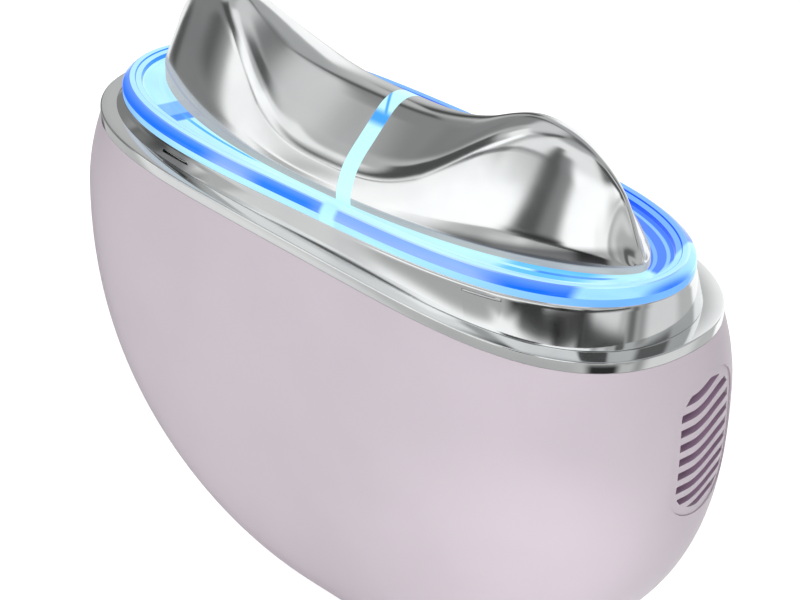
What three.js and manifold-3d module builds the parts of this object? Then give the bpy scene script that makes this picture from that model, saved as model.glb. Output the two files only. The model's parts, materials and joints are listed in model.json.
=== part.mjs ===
// Palm-held facial wand: a half-moon body, a chrome rim and collar, a light ring and two
// electrode halves with a lobe each. Millimetres, +Z up, +X towards the end with the fan,
// -Y towards the plain front face, origin under the middle of the flat foot.
import * as THREE from "three";
import * as BufferGeometryUtils from "three/addons/utils/BufferGeometryUtils.js";
import Module from "manifold-3d";

const wasm = await Module();
wasm.setup();

// Rim, seen from above |x/a|^p + |y/b|^q = 1
const rimHalfLength = 50;
const rimHalfWidth = 18.75;
const rimLengthPower = 4.39;
const rimWidthPower = 2.24;
const bandHeight = 1.5;

// Body under the rim, by depth below the band
const beltDepth = 10;
const beltOverhangLength = 1.35;
const beltOverhangWidth = 1.6;
const bellyDepth = 58.1;
const footCut = 0.72;
const endCurvePower = 2.58;
const endFillPower = 1.84;
const sideCurvePower = 1.5;
const sideFillPower = 3.29;
const wall = 2.2;

// Rebate at the body's mouth, with the rim's tongue and its seal
const lipWall = 1.2;
const tongueDepth = 2;
const gasketHeight = 0.6;

// Collar that stands on the rim's ledge
const collarHalfLength = 48.1;
const collarHalfWidth = 16.87;
const collarLengthPower = 4.26;
const collarWidthPower = 2.11;
const collarShift = -0.375;
const collarFoot = 1;
const collarWall = 1.2;
const spigotDepth = 3.5;
const shelfInset = 3.2;
const shelfReach = 1.8;
const shelfThickness = 1.2;
const snapWindowLength = 5.6;
const snapWindowHeight = 0.8;
const snapWindowDepth = 0.8;
const snapWindowPlaces = [-24.5, 30.8];

// Head plane, tilted up towards +X
const headTilt = 0.052;
const headShift = -0.62;
const headLift = 3.15;

// Light ring in the head's own frame
const ringHalfLength = 48.1;
const ringHalfWidth = 16.4;
const ringLengthPower = 3.5;
const ringWidthPower = 2.02;
const ringWallHeight = 1.3;
const ringHeight = 2.2;
const ringBevel = 0.8;
const ringTopWidth = 0.9;
const ringStepDrop = 0.3;
const ringStepWidth = 0.8;
const ringFloor = 1.2;
const ringUnderlap = 2;

// Electrodes in the head's own frame
const electrodeHalfLength = 43.5;
const electrodeHalfWidth = 12.8;
const electrodeLengthPower = 2.25;
const electrodeWidthPower = 1.65;
const electrodeWall = 1.3;
const electrodeBand = 0.8;
const electrodeEndBand = 1.2;
const lobePlace = 28;
const saddleHeight = 11.6;
const lobeRise = 5.4;
const saddleCrease = 5.9;
const creaseRise = 10;
const flankSlopeRatio = 0.4;
const creaseOutRatio = 0.35;
const tipInset = 0.35;
const noseReach = 16.5;
const stripWidth = 2;
const stripPlace = 1;
const stripSlantRatio = 0.25;

// Inside of the head
const boardThickness = 1;
const contactPlace = 24;
const bossRadius = 3;
const bossDrop = 5;
const padRim = 1;
const contactScrewRadius = 1;
const contactScrewLength = 12;
const contactHeadRadius = 2.2;
const contactHeadHeight = 1.5;

// Vents, one in each end
const ventPlace = 4.1;
const ventDrop = 14.9;
const ventHalfWidth = 6.3;
const ventHalfHeight = 10;
const ventRecess = 0.3;
const ventThickness = 1.5;
const ventBorder = 1.2;
const ventFlange = 1.2;
const ventFlangeLap = 1.3;
const slotCount = 9;
const slotPitch = 2.02;
const slotHeight = 1.05;
const slotWave = 1.4;
const slotWaveStartRatio = 0.2;
const slotWaveEndRatio = 0.78;
const screenThickness = 0.8;
const screenSlotCount = 4;
const screenSlotPitch = 2.2;
const screenSlotWidth = 1.3;

// Fan behind the right vent
const fanInset = 19;
const fanThickness = 5.5;
const fanHalfSize = 9.5;
const fanCorner = 1.5;
const fanBore = 8.9;
const fanHubRadius = 3.2;
const fanPostRadius = 1.2;
const fanSpokeWidth = 1.4;
const fanSpokeThickness = 1.2;
const bladeCount = 7;
const bladeAngle = 0.6;
const bladeWidthRatio = 0.82;
const bladeRoot = 1;
const bladeThickness = 0.7;
const bladeTipGap = 0.5;
const ductWall = 1;

// Chassis, battery and main board
const chassisThickness = 2;
const chassisTopDrop = 7;
const chassisHoleRadius = 4;
const batteryLength = 48;
const batteryHeight = 28;
const batteryThickness = 10;
const batteryFloor = 18;
const batteryCorner = 2;
const lowerLedgeInset = 4;
const upperLedgeInset = 14;
const ledgeReach = 8;
const mainBoardLength = 52;
const mainBoardHeight = 30;
const mainBoardThickness = 1.2;
const mainBoardFloor = 20;
const mainBoardPlace = 9;
const boardCorner = 1;
const standoffRadius = 2.2;
const standoffInset = 4;
const boardScrewRadius = 0.7;
const boardScrewLength = 5;
const boardHeadRadius = 1.8;
const boardHeadHeight = 1.2;

// Buttons on the rear face
const buttonDrop = 18;
const buttonSpacing = 16;
const buttonRadius = 4.2;
const buttonFlangeRadius = 5.2;
const buttonFlangeThickness = 1;
const buttonStemRadius = 1.5;
const buttonRecess = 0.25;
const buttonTravel = 0.6;
const switchSize = 5;
const switchHeight = 2.5;
const plungerRadius = 1.4;
const plungerHeight = 0.6;
const lensRadius = 1.1;
const lensFlangeRadius = 2;

// Charging port in the foot
const portWidth = 8.9;
const portDepth = 3.2;
const portLength = 7.5;
const portInset = 0.8;
const portWall = 0.3;
const portTongue = 0.7;
const portTongueInset = 1.2;
const portBack = 1;
const portGasketRim = 1.4;
const portGasketHeight = 1.6;
const portBoardLength = 14;
const portBoardWidth = 9;
const footPlateThickness = 1.5;
const footPlateOverhang = 2;
const fanShelfLap = 2;

// Vibration motor in the foot
const motorRadius = 3.6;
const motorLength = 10;
const motorStart = -8;
const motorPlace = 6.2;
const motorHeight = 15.4;
const saddleInset = 1;
const motorShaftRadius = 0.5;
const weightRadius = 3;
const weightLength = 3.6;

// Clearances
const gap = 0.3;
const seatGap = 0.1;

// Facets
const quarterSteps = 11;
const roundSides = 16;
const beltLevels = 2;
const bellyLevels = 8;
const electrodeStations = 24;
const hollowStations = 10;
const waveSteps = 5;

// Levels worked out from the sizes above
const footDepth = bellyDepth - footCut;
const mouth = footDepth;
const rimPlane = mouth + bandHeight;
const ventHeight = rimPlane - ventDrop;
const buttonHeight = rimPlane - buttonDrop;
const headPlane = rimPlane + headLift;
const collarTop = -gap;
const shelfTop = collarTop - boardThickness - gap;
const electrodeBase = ringFloor + gap;
const carrierThickness = ringFloor;
const fanBack = rimHalfLength - fanInset;
const far = 2 * rimHalfLength;

// Forms

// One outline |x/a|^p + |y/b|^q = 1, each quarter cut into steps of equal length
function oval(a, b, p, q) {
  const dense = 300;
  const quarter = [];
  const run = [0];
  for (let i = 0; i <= dense; i++) {
    const turn = (i / dense) * Math.PI / 2;
    quarter.push([a * Math.cos(turn) ** (2 / p), b * Math.sin(turn) ** (2 / q)]);
    if (i > 0) {
      const [x, y] = quarter[i];
      const [px, py] = quarter[i - 1];
      run.push(run[i - 1] + Math.hypot(x - px, y - py));
    }
  }
  quarter[dense] = [0, b];
  const corner = [];
  let at = 0;
  for (let k = 0; k < quarterSteps; k++) {
    const wanted = (k / quarterSteps) * run[dense];
    while (run[at + 1] < wanted) at++;
    const share = (wanted - run[at]) / (run[at + 1] - run[at]);
    const [x0, y0] = quarter[at];
    const [x1, y1] = quarter[at + 1];
    corner.push([x0 + (x1 - x0) * share, y0 + (y1 - y0) * share]);
  }
  const points = corner.map(([x, y]) => [x, y]);
  points.push([0, b]);
  for (let k = quarterSteps - 1; k > 0; k--) points.push([-corner[k][0], corner[k][1]]);
  for (let k = 0; k < quarterSteps; k++) points.push([-corner[k][0], -corner[k][1]]);
  points.push([0, -b]);
  for (let k = quarterSteps - 1; k > 0; k--) points.push([corner[k][0], -corner[k][1]]);
  return points;
}

// Rings of equal point counts joined side by side; a hoop joins its last ring to its first
function loft(rings, hoop = false) {
  const count = rings[0].length;
  const positions = rings.flat().flat();
  const index = [];
  const spans = hoop ? rings.length : rings.length - 1;
  for (let r = 0; r < spans; r++) {
    const lower = r * count;
    const upper = ((r + 1) % rings.length) * count;
    for (let i = 0; i < count; i++) {
      const next = (i + 1) % count;
      index.push(lower + i, lower + next, upper + next);
      index.push(lower + i, upper + next, upper + i);
    }
  }
  if (!hoop) {
    for (const r of [0, rings.length - 1]) {
      const middle = positions.length / 3;
      const centre = [0, 1, 2].map((k) => rings[r].reduce((sum, p) => sum + p[k], 0) / count);
      positions.push(...centre);
      for (let i = 0; i < count; i++) {
        const next = (i + 1) % count;
        const fan = [r * count + next, r * count + i, middle];
        index.push(...(r === 0 ? fan : fan.reverse()));
      }
    }
  }
  const geometry = new THREE.BufferGeometry();
  geometry.setAttribute("position", new THREE.Float32BufferAttribute(positions, 3));
  geometry.setIndex(index);
  return facedOut(geometry);
}

// The same closed surface with its faces pointing out
function facedOut(geometry) {
  const { array } = geometry.attributes.position;
  const order = geometry.index.array;
  const corner = (k) => new THREE.Vector3().fromArray(array, order[k] * 3);
  let volume = 0;
  for (let k = 0; k < order.length; k += 3) {
    volume += corner(k).dot(corner(k + 1).cross(corner(k + 2)));
  }
  if (volume < 0) {
    const turned = [];
    for (let k = 0; k < order.length; k += 3) turned.push(order[k], order[k + 2], order[k + 1]);
    geometry.setIndex(turned);
  }
  return geometry;
}

// Closed surface to solid and back
function solid(geometry) {
  const bare = new THREE.BufferGeometry();
  bare.setAttribute("position", geometry.attributes.position.clone());
  if (geometry.index) bare.setIndex(geometry.index.clone());
  const merged = BufferGeometryUtils.mergeVertices(bare, 1e-4);
  const mesh = new wasm.Mesh({
    numProp: 3,
    vertProperties: new Float32Array(merged.attributes.position.array),
    triVerts: new Uint32Array(merged.index.array),
  });
  return new wasm.Manifold(mesh);
}

function surface(body) {
  const mesh = body.getMesh();
  const geometry = new THREE.BufferGeometry();
  geometry.setAttribute("position", new THREE.Float32BufferAttribute(mesh.vertProperties, 3));
  geometry.setIndex(Array.from(mesh.triVerts));
  return geometry;
}

// A turned surface whose profile starts and ends on the axis, made a solid
function roundSolid(geometry) {
  const bare = new THREE.BufferGeometry();
  bare.setAttribute("position", geometry.attributes.position.clone());
  bare.setIndex(geometry.index.clone());
  const merged = BufferGeometryUtils.mergeVertices(bare, 1e-4);
  const order = Array.from(merged.index.array);
  const kept = [];
  for (let k = 0; k < order.length; k += 3) {
    const [a, b, c] = order.slice(k, k + 3);
    if (a !== b && b !== c && c !== a) kept.push(a, b, c);
  }
  merged.setIndex(kept);
  return solid(facedOut(merged));
}

const join = (first, ...others) => others.reduce((body, other) => body.add(other), first);
const cut = (first, ...others) => others.reduce((body, other) => body.subtract(other), first);

// Simple solids
function block([x0, x1], [y0, y1], [z0, z1]) {
  const geometry = new THREE.BoxGeometry(x1 - x0, y1 - y0, z1 - z0);
  geometry.translate((x0 + x1) / 2, (y0 + y1) / 2, (z0 + z1) / 2);
  return solid(geometry);
}

// A round bar along one axis; centre gives the other two coordinates in X, Y, Z order
function bar(axis, radius, [from, to], [first, second], sides = roundSides) {
  const geometry = new THREE.CylinderGeometry(radius, radius, to - from, sides);
  const middle = (from + to) / 2;
  if (axis === "x") geometry.rotateZ(-Math.PI / 2).translate(middle, first, second);
  if (axis === "y") geometry.translate(first, middle, second);
  if (axis === "z") geometry.rotateX(Math.PI / 2).translate(first, second, middle);
  return solid(geometry);
}

function prismAlongX(shape, [x0, x1]) {
  const settings = { depth: x1 - x0, bevelEnabled: false, curveSegments: 4 };
  const geometry = new THREE.ExtrudeGeometry(shape, settings);
  const turn = new THREE.Matrix4().makeBasis(
    new THREE.Vector3(0, 1, 0),
    new THREE.Vector3(0, 0, 1),
    new THREE.Vector3(1, 0, 0),
  );
  geometry.applyMatrix4(turn).translate(x0, 0, 0);
  return solid(geometry);
}

function prismAlongY(shape, [y0, y1]) {
  const settings = { depth: y1 - y0, bevelEnabled: false, curveSegments: 2 };
  const geometry = new THREE.ExtrudeGeometry(shape, settings);
  geometry.rotateX(Math.PI / 2).translate(0, y1, 0);
  return solid(geometry);
}

function prismAlongZ(shape, [z0, z1]) {
  const settings = { depth: z1 - z0, bevelEnabled: false, curveSegments: 2 };
  const geometry = new THREE.ExtrudeGeometry(shape, settings);
  geometry.translate(0, 0, z0);
  return solid(geometry);
}

// Outlines
function roundedRectangle(width, height, radius, centreX = 0, centreY = 0) {
  const x = width / 2;
  const y = height / 2;
  const shape = new THREE.Shape();
  shape.absarc(centreX + x - radius, centreY + y - radius, radius, 0, Math.PI / 2);
  shape.absarc(centreX - x + radius, centreY + y - radius, radius, Math.PI / 2, Math.PI);
  shape.absarc(centreX - x + radius, centreY - y + radius, radius, Math.PI, 1.5 * Math.PI);
  shape.absarc(centreX + x - radius, centreY - y + radius, radius, 1.5 * Math.PI, 2 * Math.PI);
  return shape;
}

function capsule(halfWidth, halfHeight) {
  const straight = halfHeight - halfWidth;
  const shape = new THREE.Shape();
  shape.absarc(ventPlace, ventHeight + straight, halfWidth, 0, Math.PI);
  shape.absarc(ventPlace, ventHeight - straight, halfWidth, Math.PI, 2 * Math.PI);
  return shape;
}

// Body form

// Half sizes of the body at a depth below the band
function bodyHalfSizes(depth) {
  const length = rimHalfLength + beltOverhangLength;
  const width = rimHalfWidth + beltOverhangWidth;
  if (depth < beltDepth) {
    const rise = ((beltDepth - depth) / beltDepth) ** 2;
    return [length - beltOverhangLength * rise, width - beltOverhangWidth * rise];
  }
  const fall = (depth - beltDepth) / (bellyDepth - beltDepth);
  return [
    length * (1 - fall ** endCurvePower) ** (1 / endFillPower),
    width * (1 - fall ** sideCurvePower) ** (1 / sideFillPower),
  ];
}

function bodyOutline(depth) {
  const [length, width] = bodyHalfSizes(depth);
  return oval(length, width, rimLengthPower, rimWidthPower).map(([x, y]) => [x, y, mouth - depth]);
}

// The body's outline at a depth, moved square to the surface by an inset
function bodyRing(depth, inset) {
  const outline = bodyOutline(depth);
  if (inset === 0) return outline;
  const reach = 0.05;
  const above = bodyOutline(Math.max(depth - reach, 0));
  const below = bodyOutline(Math.min(depth + reach, footDepth));
  const count = outline.length;
  return outline.map((point, i) => {
    const along = new THREE.Vector3(...outline[(i + 1) % count]);
    along.sub(new THREE.Vector3(...outline[(i + count - 1) % count]));
    const up = new THREE.Vector3(...above[i]).sub(new THREE.Vector3(...below[i]));
    const normal = along.cross(up).normalize();
    return new THREE.Vector3(...point).addScaledVector(normal, -inset).toArray();
  });
}

// The body's outline at a depth, moved in by an inset within its own level
function levelRing(depth, inset) {
  const outline = bodyOutline(depth);
  const count = outline.length;
  return outline.map(([x, y, z], i) => {
    const [ax, ay] = outline[(i + 1) % count];
    const [bx, by] = outline[(i + count - 1) % count];
    const run = Math.hypot(ax - bx, ay - by);
    return [x - inset * (ay - by) / run, y + inset * (ax - bx) / run, z];
  });
}

// Depths of the body's levels, closer together towards the foot
const bodyLevels = [];
for (let i = 0; i < beltLevels; i++) bodyLevels.push((i / beltLevels) * beltDepth);
for (let i = 0; i <= bellyLevels; i++) {
  const share = 1 - (1 - i / bellyLevels) ** 1.7;
  bodyLevels.push(beltDepth + (footDepth - beltDepth) * share);
}

// Faces that stay inside take every second level
const hiddenLevels = bodyLevels.filter((depth, i) => i % 2 === 0);

// The whole body form moved in by an inset, with a flat floor at that height
function bodyForm(inset, headroom = 0, levels = hiddenLevels) {
  const rings = levels.map((depth) => bodyRing(depth, inset));
  const floor = rings.length - 1;
  rings[floor] = rings[floor].map(([x, y]) => [x, y, inset]);
  if (headroom > 0) rings.unshift(rings[0].map(([x, y]) => [x, y, mouth + headroom]));
  return solid(loft(rings));
}

// Head frame

// A point of the head's own frame in the part's frame
function fromHead([x, y, z]) {
  const cosine = Math.cos(headTilt);
  const sine = Math.sin(headTilt);
  return [headShift + x * cosine - z * sine, y, headPlane + x * sine + z * cosine];
}

const ringOutline = (inset, z) =>
  oval(ringHalfLength - inset, ringHalfWidth - inset, ringLengthPower, ringWidthPower)
    .map(([x, y]) => [x, y, z]);

const electrodeOutline = (inset, z) =>
  oval(electrodeHalfLength - inset, electrodeHalfWidth - inset, electrodeLengthPower, electrodeWidthPower)
    .map(([x, y]) => [x, y, z]);

const collarOutline = (inset, z) =>
  oval(collarHalfLength - inset, collarHalfWidth - inset, collarLengthPower, collarWidthPower)
    .map(([x, y]) => [x + collarShift, y, z]);

// Scene

const part = new THREE.Group();
const head = new THREE.Group();
head.position.set(headShift, 0, headPlane);
head.rotation.y = -headTilt;
part.add(head);

const finish = (color, roughness, metalness) =>
  new THREE.MeshStandardMaterial({ color, roughness, metalness });
const satinLavender = finish(0xc9bfc9, 0.45, 0);
const darkLavender = finish(0x9a8a9c, 0.5, 0);
const chrome = finish(0xc8cccc, 0.08, 1);
const lightGuide = finish(0x7ecbff, 0.2, 0);
const blackRubber = finish(0x2a2a2c, 0.8, 0);
const whitePlastic = finish(0xe4e4e2, 0.5, 0);
const blackPlastic = finish(0x242428, 0.5, 0);
const boardGreen = finish(0x1f6b45, 0.6, 0);
const steel = finish(0x9c9ea0, 0.35, 1);
const batteryFoil = finish(0x8f99a6, 0.4, 0.6);

function add(name, body, material, parent = part) {
  const mesh = new THREE.Mesh(surface(body), material);
  mesh.name = name;
  parent.add(mesh);
  return mesh;
}

// Body shell: cup with a rebated mouth, vent seats in both ends, button holes and port hole

function bothEnds(body) {
  const other = surface(body).rotateZ(Math.PI);
  return body.add(solid(other));
}

function mouthRebate() {
  const depth = tongueDepth + gasketHeight + 2 * seatGap;
  const top = levelRing(0, lipWall).map(([x, y]) => [x, y, mouth + 1]);
  return solid(loft([top, levelRing(0, lipWall), levelRing(depth, lipWall)]));
}

const ventSeatDepth = ventRecess + ventThickness + gap;
const ventFlangeBack = ventSeatDepth + ventFlange;
const screenBack = ventFlangeBack + gap + screenThickness;
const ventOpening = (margin) => capsule(ventHalfWidth + margin, ventHalfHeight + margin);
const ventReach = [rimHalfLength / 2, far];

function bodyShell() {
  const flangeBlock = prismAlongX(ventOpening(ventFlangeLap), ventReach);
  const flange = bothEnds(cut(flangeBlock, bodyForm(ventFlangeBack, 1)));
  const cavity = cut(bodyForm(wall, 1), flange);
  const seatBlock = prismAlongX(ventOpening(0), ventReach);
  const seat = bothEnds(cut(seatBlock, bodyForm(ventSeatDepth, 1)));
  const throughVent = bothEnds(prismAlongX(ventOpening(-ventFlangeLap), ventReach));
  const rear = [rimHalfWidth / 2, far];
  const buttonHoles = [-0.5, 0.5].map((side) =>
    bar("y", buttonRadius + gap, rear, [side * buttonSpacing, buttonHeight]));
  const lensHole = bar("y", lensRadius + gap, rear, [0, buttonHeight]);
  const portRoom = [portWidth + 2 * gap, portDepth + 2 * gap];
  const portHole = prismAlongZ(roundedRectangle(...portRoom, portDepth / 2), [-1, 2 * wall]);
  const outside = bodyForm(0, 0, bodyLevels);
  return cut(outside, cavity, mouthRebate(), seat, throughVent, ...buttonHoles, lensHole, portHole);
}

add("body_shell", bodyShell(), satinLavender);

// Rim: a polished band with a flat ledge and a tongue that goes down into the rebate

const rimOutline = (z) =>
  oval(rimHalfLength, rimHalfWidth, rimLengthPower, rimWidthPower).map(([x, y]) => [x, y, z]);
const tongueInset = lipWall + gap;

function bezel() {
  return solid(loft([
    rimOutline(rimPlane),
    rimOutline(mouth),
    levelRing(0, tongueInset),
    levelRing(tongueDepth, tongueInset),
    levelRing(tongueDepth, wall),
    levelRing(0, wall),
    collarOutline(collarFoot, mouth),
    collarOutline(collarFoot, rimPlane),
  ], true));
}

add("bezel", bezel(), chrome);

function bezelGasket() {
  const top = tongueDepth + seatGap;
  const bottom = top + gasketHeight;
  return solid(loft([
    levelRing(top, tongueInset),
    levelRing(bottom, tongueInset),
    levelRing(bottom, wall),
    levelRing(top, wall),
  ], true));
}

add("bezel_gasket", bezelGasket(), blackRubber);

// Collar: level foot on the ledge, tilted top under the light ring, shelf for the light board

const collarPlane = (inset, z) => ringOutline(inset, z).map(fromHead);

function headCollar() {
  const spigotOut = collarFoot + gap;
  const spigotIn = spigotOut + collarWall;
  const shelfIn = shelfInset + shelfReach;
  const underside = shelfTop - shelfThickness;
  const rise = Math.tan(headTilt);
  const web = collarOutline(spigotIn, 0).map(([x, y]) =>
    [x, y, headPlane + (x - headShift) * rise + underside - collarWall]);
  const wallRings = [
    collarPlane(0, collarTop),
    collarOutline(0, rimPlane),
    collarOutline(spigotOut, rimPlane),
    collarOutline(spigotOut, rimPlane - spigotDepth),
    collarOutline(spigotIn, rimPlane - spigotDepth),
    web,
    collarPlane(shelfIn, underside),
    collarPlane(shelfIn, shelfTop),
    collarPlane(shelfInset, shelfTop),
    collarPlane(shelfInset, collarTop),
  ];
  return cut(solid(loft(wallRings, true)), ...snapWindows());
}

// Half width of the ring's outline at a distance along it
const ringWidthAt = (x) =>
  ringHalfWidth * (1 - (Math.abs(x) / ringHalfLength) ** ringLengthPower) ** (1 / ringWidthPower);

function snapWindows() {
  const windows = [];
  for (const side of [-1, 1]) {
    for (const place of snapWindowPlaces) {
      const x = -side * place;
      const inner = ringWidthAt(x) - snapWindowDepth;
      const reach = 2 * snapWindowDepth + 2;
      const geometry = new THREE.BoxGeometry(snapWindowLength, reach, 2 * snapWindowHeight);
      geometry.translate(x, side * (inner + snapWindowDepth + 1), collarTop);
      geometry.rotateY(-headTilt).translate(headShift, 0, headPlane);
      windows.push(solid(geometry));
    }
  }
  return windows;
}

add("head_collar", headCollar(), chrome);

// Light ring: upright wall, bevel, stepped top and a floor that runs under the electrodes

function lightRing() {
  const topIn = ringBevel + ringTopWidth;
  const stepIn = topIn + ringStepWidth;
  return solid(loft([
    ringOutline(0, 0),
    ringOutline(0, ringWallHeight),
    ringOutline(ringBevel, ringHeight),
    ringOutline(topIn, ringHeight),
    ringOutline(topIn, ringHeight - ringStepDrop),
    ringOutline(stepIn, ringHeight - ringStepDrop),
    ringOutline(stepIn, ringFloor),
    electrodeOutline(ringUnderlap, ringFloor),
    electrodeOutline(ringUnderlap, 0),
  ], true));
}

add("light_ring", lightRing(), lightGuide, head);

// Electrodes: a lofted form with a saddle and a lobe on each side, hollow from below

const lobeShare = (x) => 0.5 - 0.5 * Math.cos(Math.PI * Math.min(Math.abs(x) / lobePlace, 1) ** 1.5);
const pastLobe = (x) => Math.max(Math.abs(x) - lobePlace, 0);

function ridgeHeight(x) {
  const s = Math.min(pastLobe(x) / noseReach, 1);
  return (saddleHeight + lobeRise * lobeShare(x)) * Math.sqrt(1 - s * s);
}

function creaseHeight(x) {
  const s = Math.min(pastLobe(x) / (electrodeHalfLength - lobePlace), 1);
  return (saddleCrease + creaseRise * lobeShare(x)) * (1 - s * s) ** (1 / 1.7);
}

function baseHalfWidth(x) {
  const share = Math.min(Math.abs(x) / electrodeHalfLength, 1) ** electrodeLengthPower;
  return electrodeHalfWidth * (1 - share) ** (1 / electrodeWidthPower);
}

// One cross-section of the electrodes, moved in by an inset and open downwards by a drop
function electrodeSection(x, inset, drop) {
  const foot = baseHalfWidth(x) - inset;
  const floor = electrodeBase - drop;
  const bandTop = electrodeBase + electrodeBand + electrodeEndBand * (x / electrodeHalfLength) ** 2;
  const crease = Math.max(creaseHeight(x) - inset, bandTop + gap);
  const creaseOut = Math.max(foot - (crease - electrodeBase) * flankSlopeRatio, foot * creaseOutRatio);
  const ridge = Math.max(ridgeHeight(x) - 1.2 * inset, crease + gap);
  const slope = (share) => [creaseOut * (1 - share), crease + (ridge - crease) * share];
  const half = [
    [foot, floor],
    [foot, bandTop],
    [(foot + creaseOut) / 2, (bandTop + crease) / 2],
    [creaseOut, crease],
    slope(0.33),
    slope(0.66),
    [creaseOut * 0.1, ridge - 0.04 * (ridge - crease)],
  ];
  const points = half.map(([y, z]) => [x, y, z]);
  points.push([x, 0, ridge]);
  for (const [y, z] of half.slice().reverse()) points.push([x, -y, z]);
  return points;
}

function electrodeForm(inset, drop, stations = electrodeStations) {
  const reach = electrodeHalfLength - tipInset - 2.4 * inset;
  const sections = [];
  for (let i = 0; i <= stations; i++) {
    const turn = (i / stations - 0.5) * Math.PI;
    sections.push(electrodeSection(reach * Math.sin(turn), inset, drop));
  }
  return solid(loft(sections));
}

// A slab across the head along the strip's slanted plane
function slantedSlab([x0, x1]) {
  const geometry = new THREE.BoxGeometry(x1 - x0, far, far);
  geometry.translate((x0 + x1) / 2, 0, 0);
  geometry.rotateZ(Math.atan(stripSlantRatio)).translate(stripPlace, 0, 0);
  return solid(geometry);
}

const contactHoleRadius = contactScrewRadius + gap;
const screwTip = contactScrewLength - gap;

function electrode(side) {
  const outside = electrodeForm(0, 0);
  const place = [side * contactPlace, 0];
  const boss = bar("z", bossRadius, [bossDrop, far], place).intersect(outside);
  const hollow = cut(outside, electrodeForm(electrodeWall, 1, hollowStations));
  const bored = cut(hollow.add(boss), bar("z", contactHoleRadius, [0, screwTip + gap], place));
  const edge = stripWidth / 2 + gap;
  const otherSide = side > 0 ? [-far, edge] : [-edge, far];
  return cut(bored, slantedSlab(otherSide));
}

add("electrode_left", electrode(-1), chrome, head);
add("electrode_right", electrode(1), chrome, head);

// Light strip: a clear fin between the two electrodes, standing on the carrier

function lightStrip() {
  return electrodeForm(0, 0).intersect(slantedSlab([-stripWidth / 2, stripWidth / 2]));
}

add("light_strip", lightStrip(), lightGuide, head);

// Carrier under the electrodes, with a raised pad and a screw for each of them

function electrodeCarrier() {
  const margin = ringUnderlap + gap;
  const plate = solid(loft([electrodeOutline(margin, 0), electrodeOutline(margin, carrierThickness)]));
  const pads = [-1, 1].map((side) =>
    bar("z", bossRadius + padRim, [0, bossDrop - gap], [side * contactPlace, 0]));
  const holes = [-1, 1].map((side) => bar("z", contactHoleRadius, [-1, far], [side * contactPlace, 0]));
  return cut(join(plate, ...pads), ...holes);
}

add("electrode_carrier", electrodeCarrier(), whitePlastic, head);

function contactScrew(side) {
  const place = [side * contactPlace, 0];
  const shaft = bar("z", contactScrewRadius, [-gap - contactHeadHeight, screwTip], place);
  const screwHead = bar("z", contactHeadRadius, [-gap - contactHeadHeight, -gap], place);
  const depth = contactHeadHeight / 2;
  const slot = block(
    [side * contactPlace - far, side * contactPlace + far], [-gap, gap],
    [-far, -gap - contactHeadHeight + depth]);
  return cut(shaft.add(screwHead), slot);
}

add("contact_screw_left", contactScrew(-1), steel, head);
add("contact_screw_right", contactScrew(1), steel, head);

// Light board: a hoop on the collar's shelf, under the light ring

function ledBoard() {
  const bottom = collarTop - boardThickness;
  const outer = shelfInset + gap;
  const inner = outer + 2 * shelfReach + ringStepWidth;
  return solid(loft([
    ringOutline(outer, collarTop),
    ringOutline(outer, bottom),
    ringOutline(inner, bottom),
    ringOutline(inner, collarTop),
  ], true));
}

add("led_board", ledBoard(), boardGreen, head);

// Vent panels: grilles with wave-shaped slots, curved as the body is and set a little in

function waveSlots() {
  const half = ventHalfWidth - ventBorder;
  const slots = [];
  for (let k = 0; k < slotCount; k++) {
    const middle = ventHeight + (k - (slotCount - 1) / 2) * slotPitch;
    const lower = [];
    const upper = [];
    for (let i = 0; i <= waveSteps; i++) {
      const share = i / waveSteps;
      const wave = THREE.MathUtils.smoothstep(share, slotWaveStartRatio, slotWaveEndRatio) - 0.5;
      const y = ventPlace - half + 2 * half * share;
      const z = middle + slotWave * wave;
      lower.push(new THREE.Vector2(y, z - slotHeight / 2));
      upper.unshift(new THREE.Vector2(y, z + slotHeight / 2));
    }
    slots.push(prismAlongX(new THREE.Shape([...lower, ...upper]), ventReach));
  }
  const field = prismAlongX(ventOpening(-ventBorder), ventReach);
  return join(...slots).intersect(field);
}

function ventPanel() {
  const outer = prismAlongX(ventOpening(-gap), ventReach).intersect(bodyForm(ventRecess, 1, bodyLevels));
  return cut(outer, bodyForm(ventRecess + ventThickness, 2), waveSlots());
}

function ventScreen() {
  const front = ventFlangeBack + gap;
  const outer = prismAlongX(ventOpening(-ventBorder), ventReach).intersect(bodyForm(front, 1));
  const slots = [];
  for (let k = 0; k < screenSlotCount; k++) {
    const middle = ventPlace + (k - (screenSlotCount - 1) / 2) * screenSlotPitch;
    const lean = Math.abs(middle - ventPlace);
    const height = ventHalfHeight - 2 * ventBorder - lean / 2;
    slots.push(block(
      ventReach,
      [middle - screenSlotWidth / 2, middle + screenSlotWidth / 2],
      [ventHeight - height, ventHeight + height]));
  }
  return cut(outer, bodyForm(screenBack, 2), ...slots);
}

const panel = ventPanel();
const screen = ventScreen();
for (const [side, turn] of [["right", 0], ["left", Math.PI]]) {
  add(`vent_panel_${side}`, panel, darkLavender).rotation.z = turn;
  add(`vent_mesh_${side}`, screen, blackPlastic).rotation.z = turn;
}

// Fan: square frame with a hub on three spokes, a rotor on its post, a duct to the vent

const fanFront = fanBack + fanThickness;
const fanCentre = [ventPlace, ventHeight];

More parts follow.
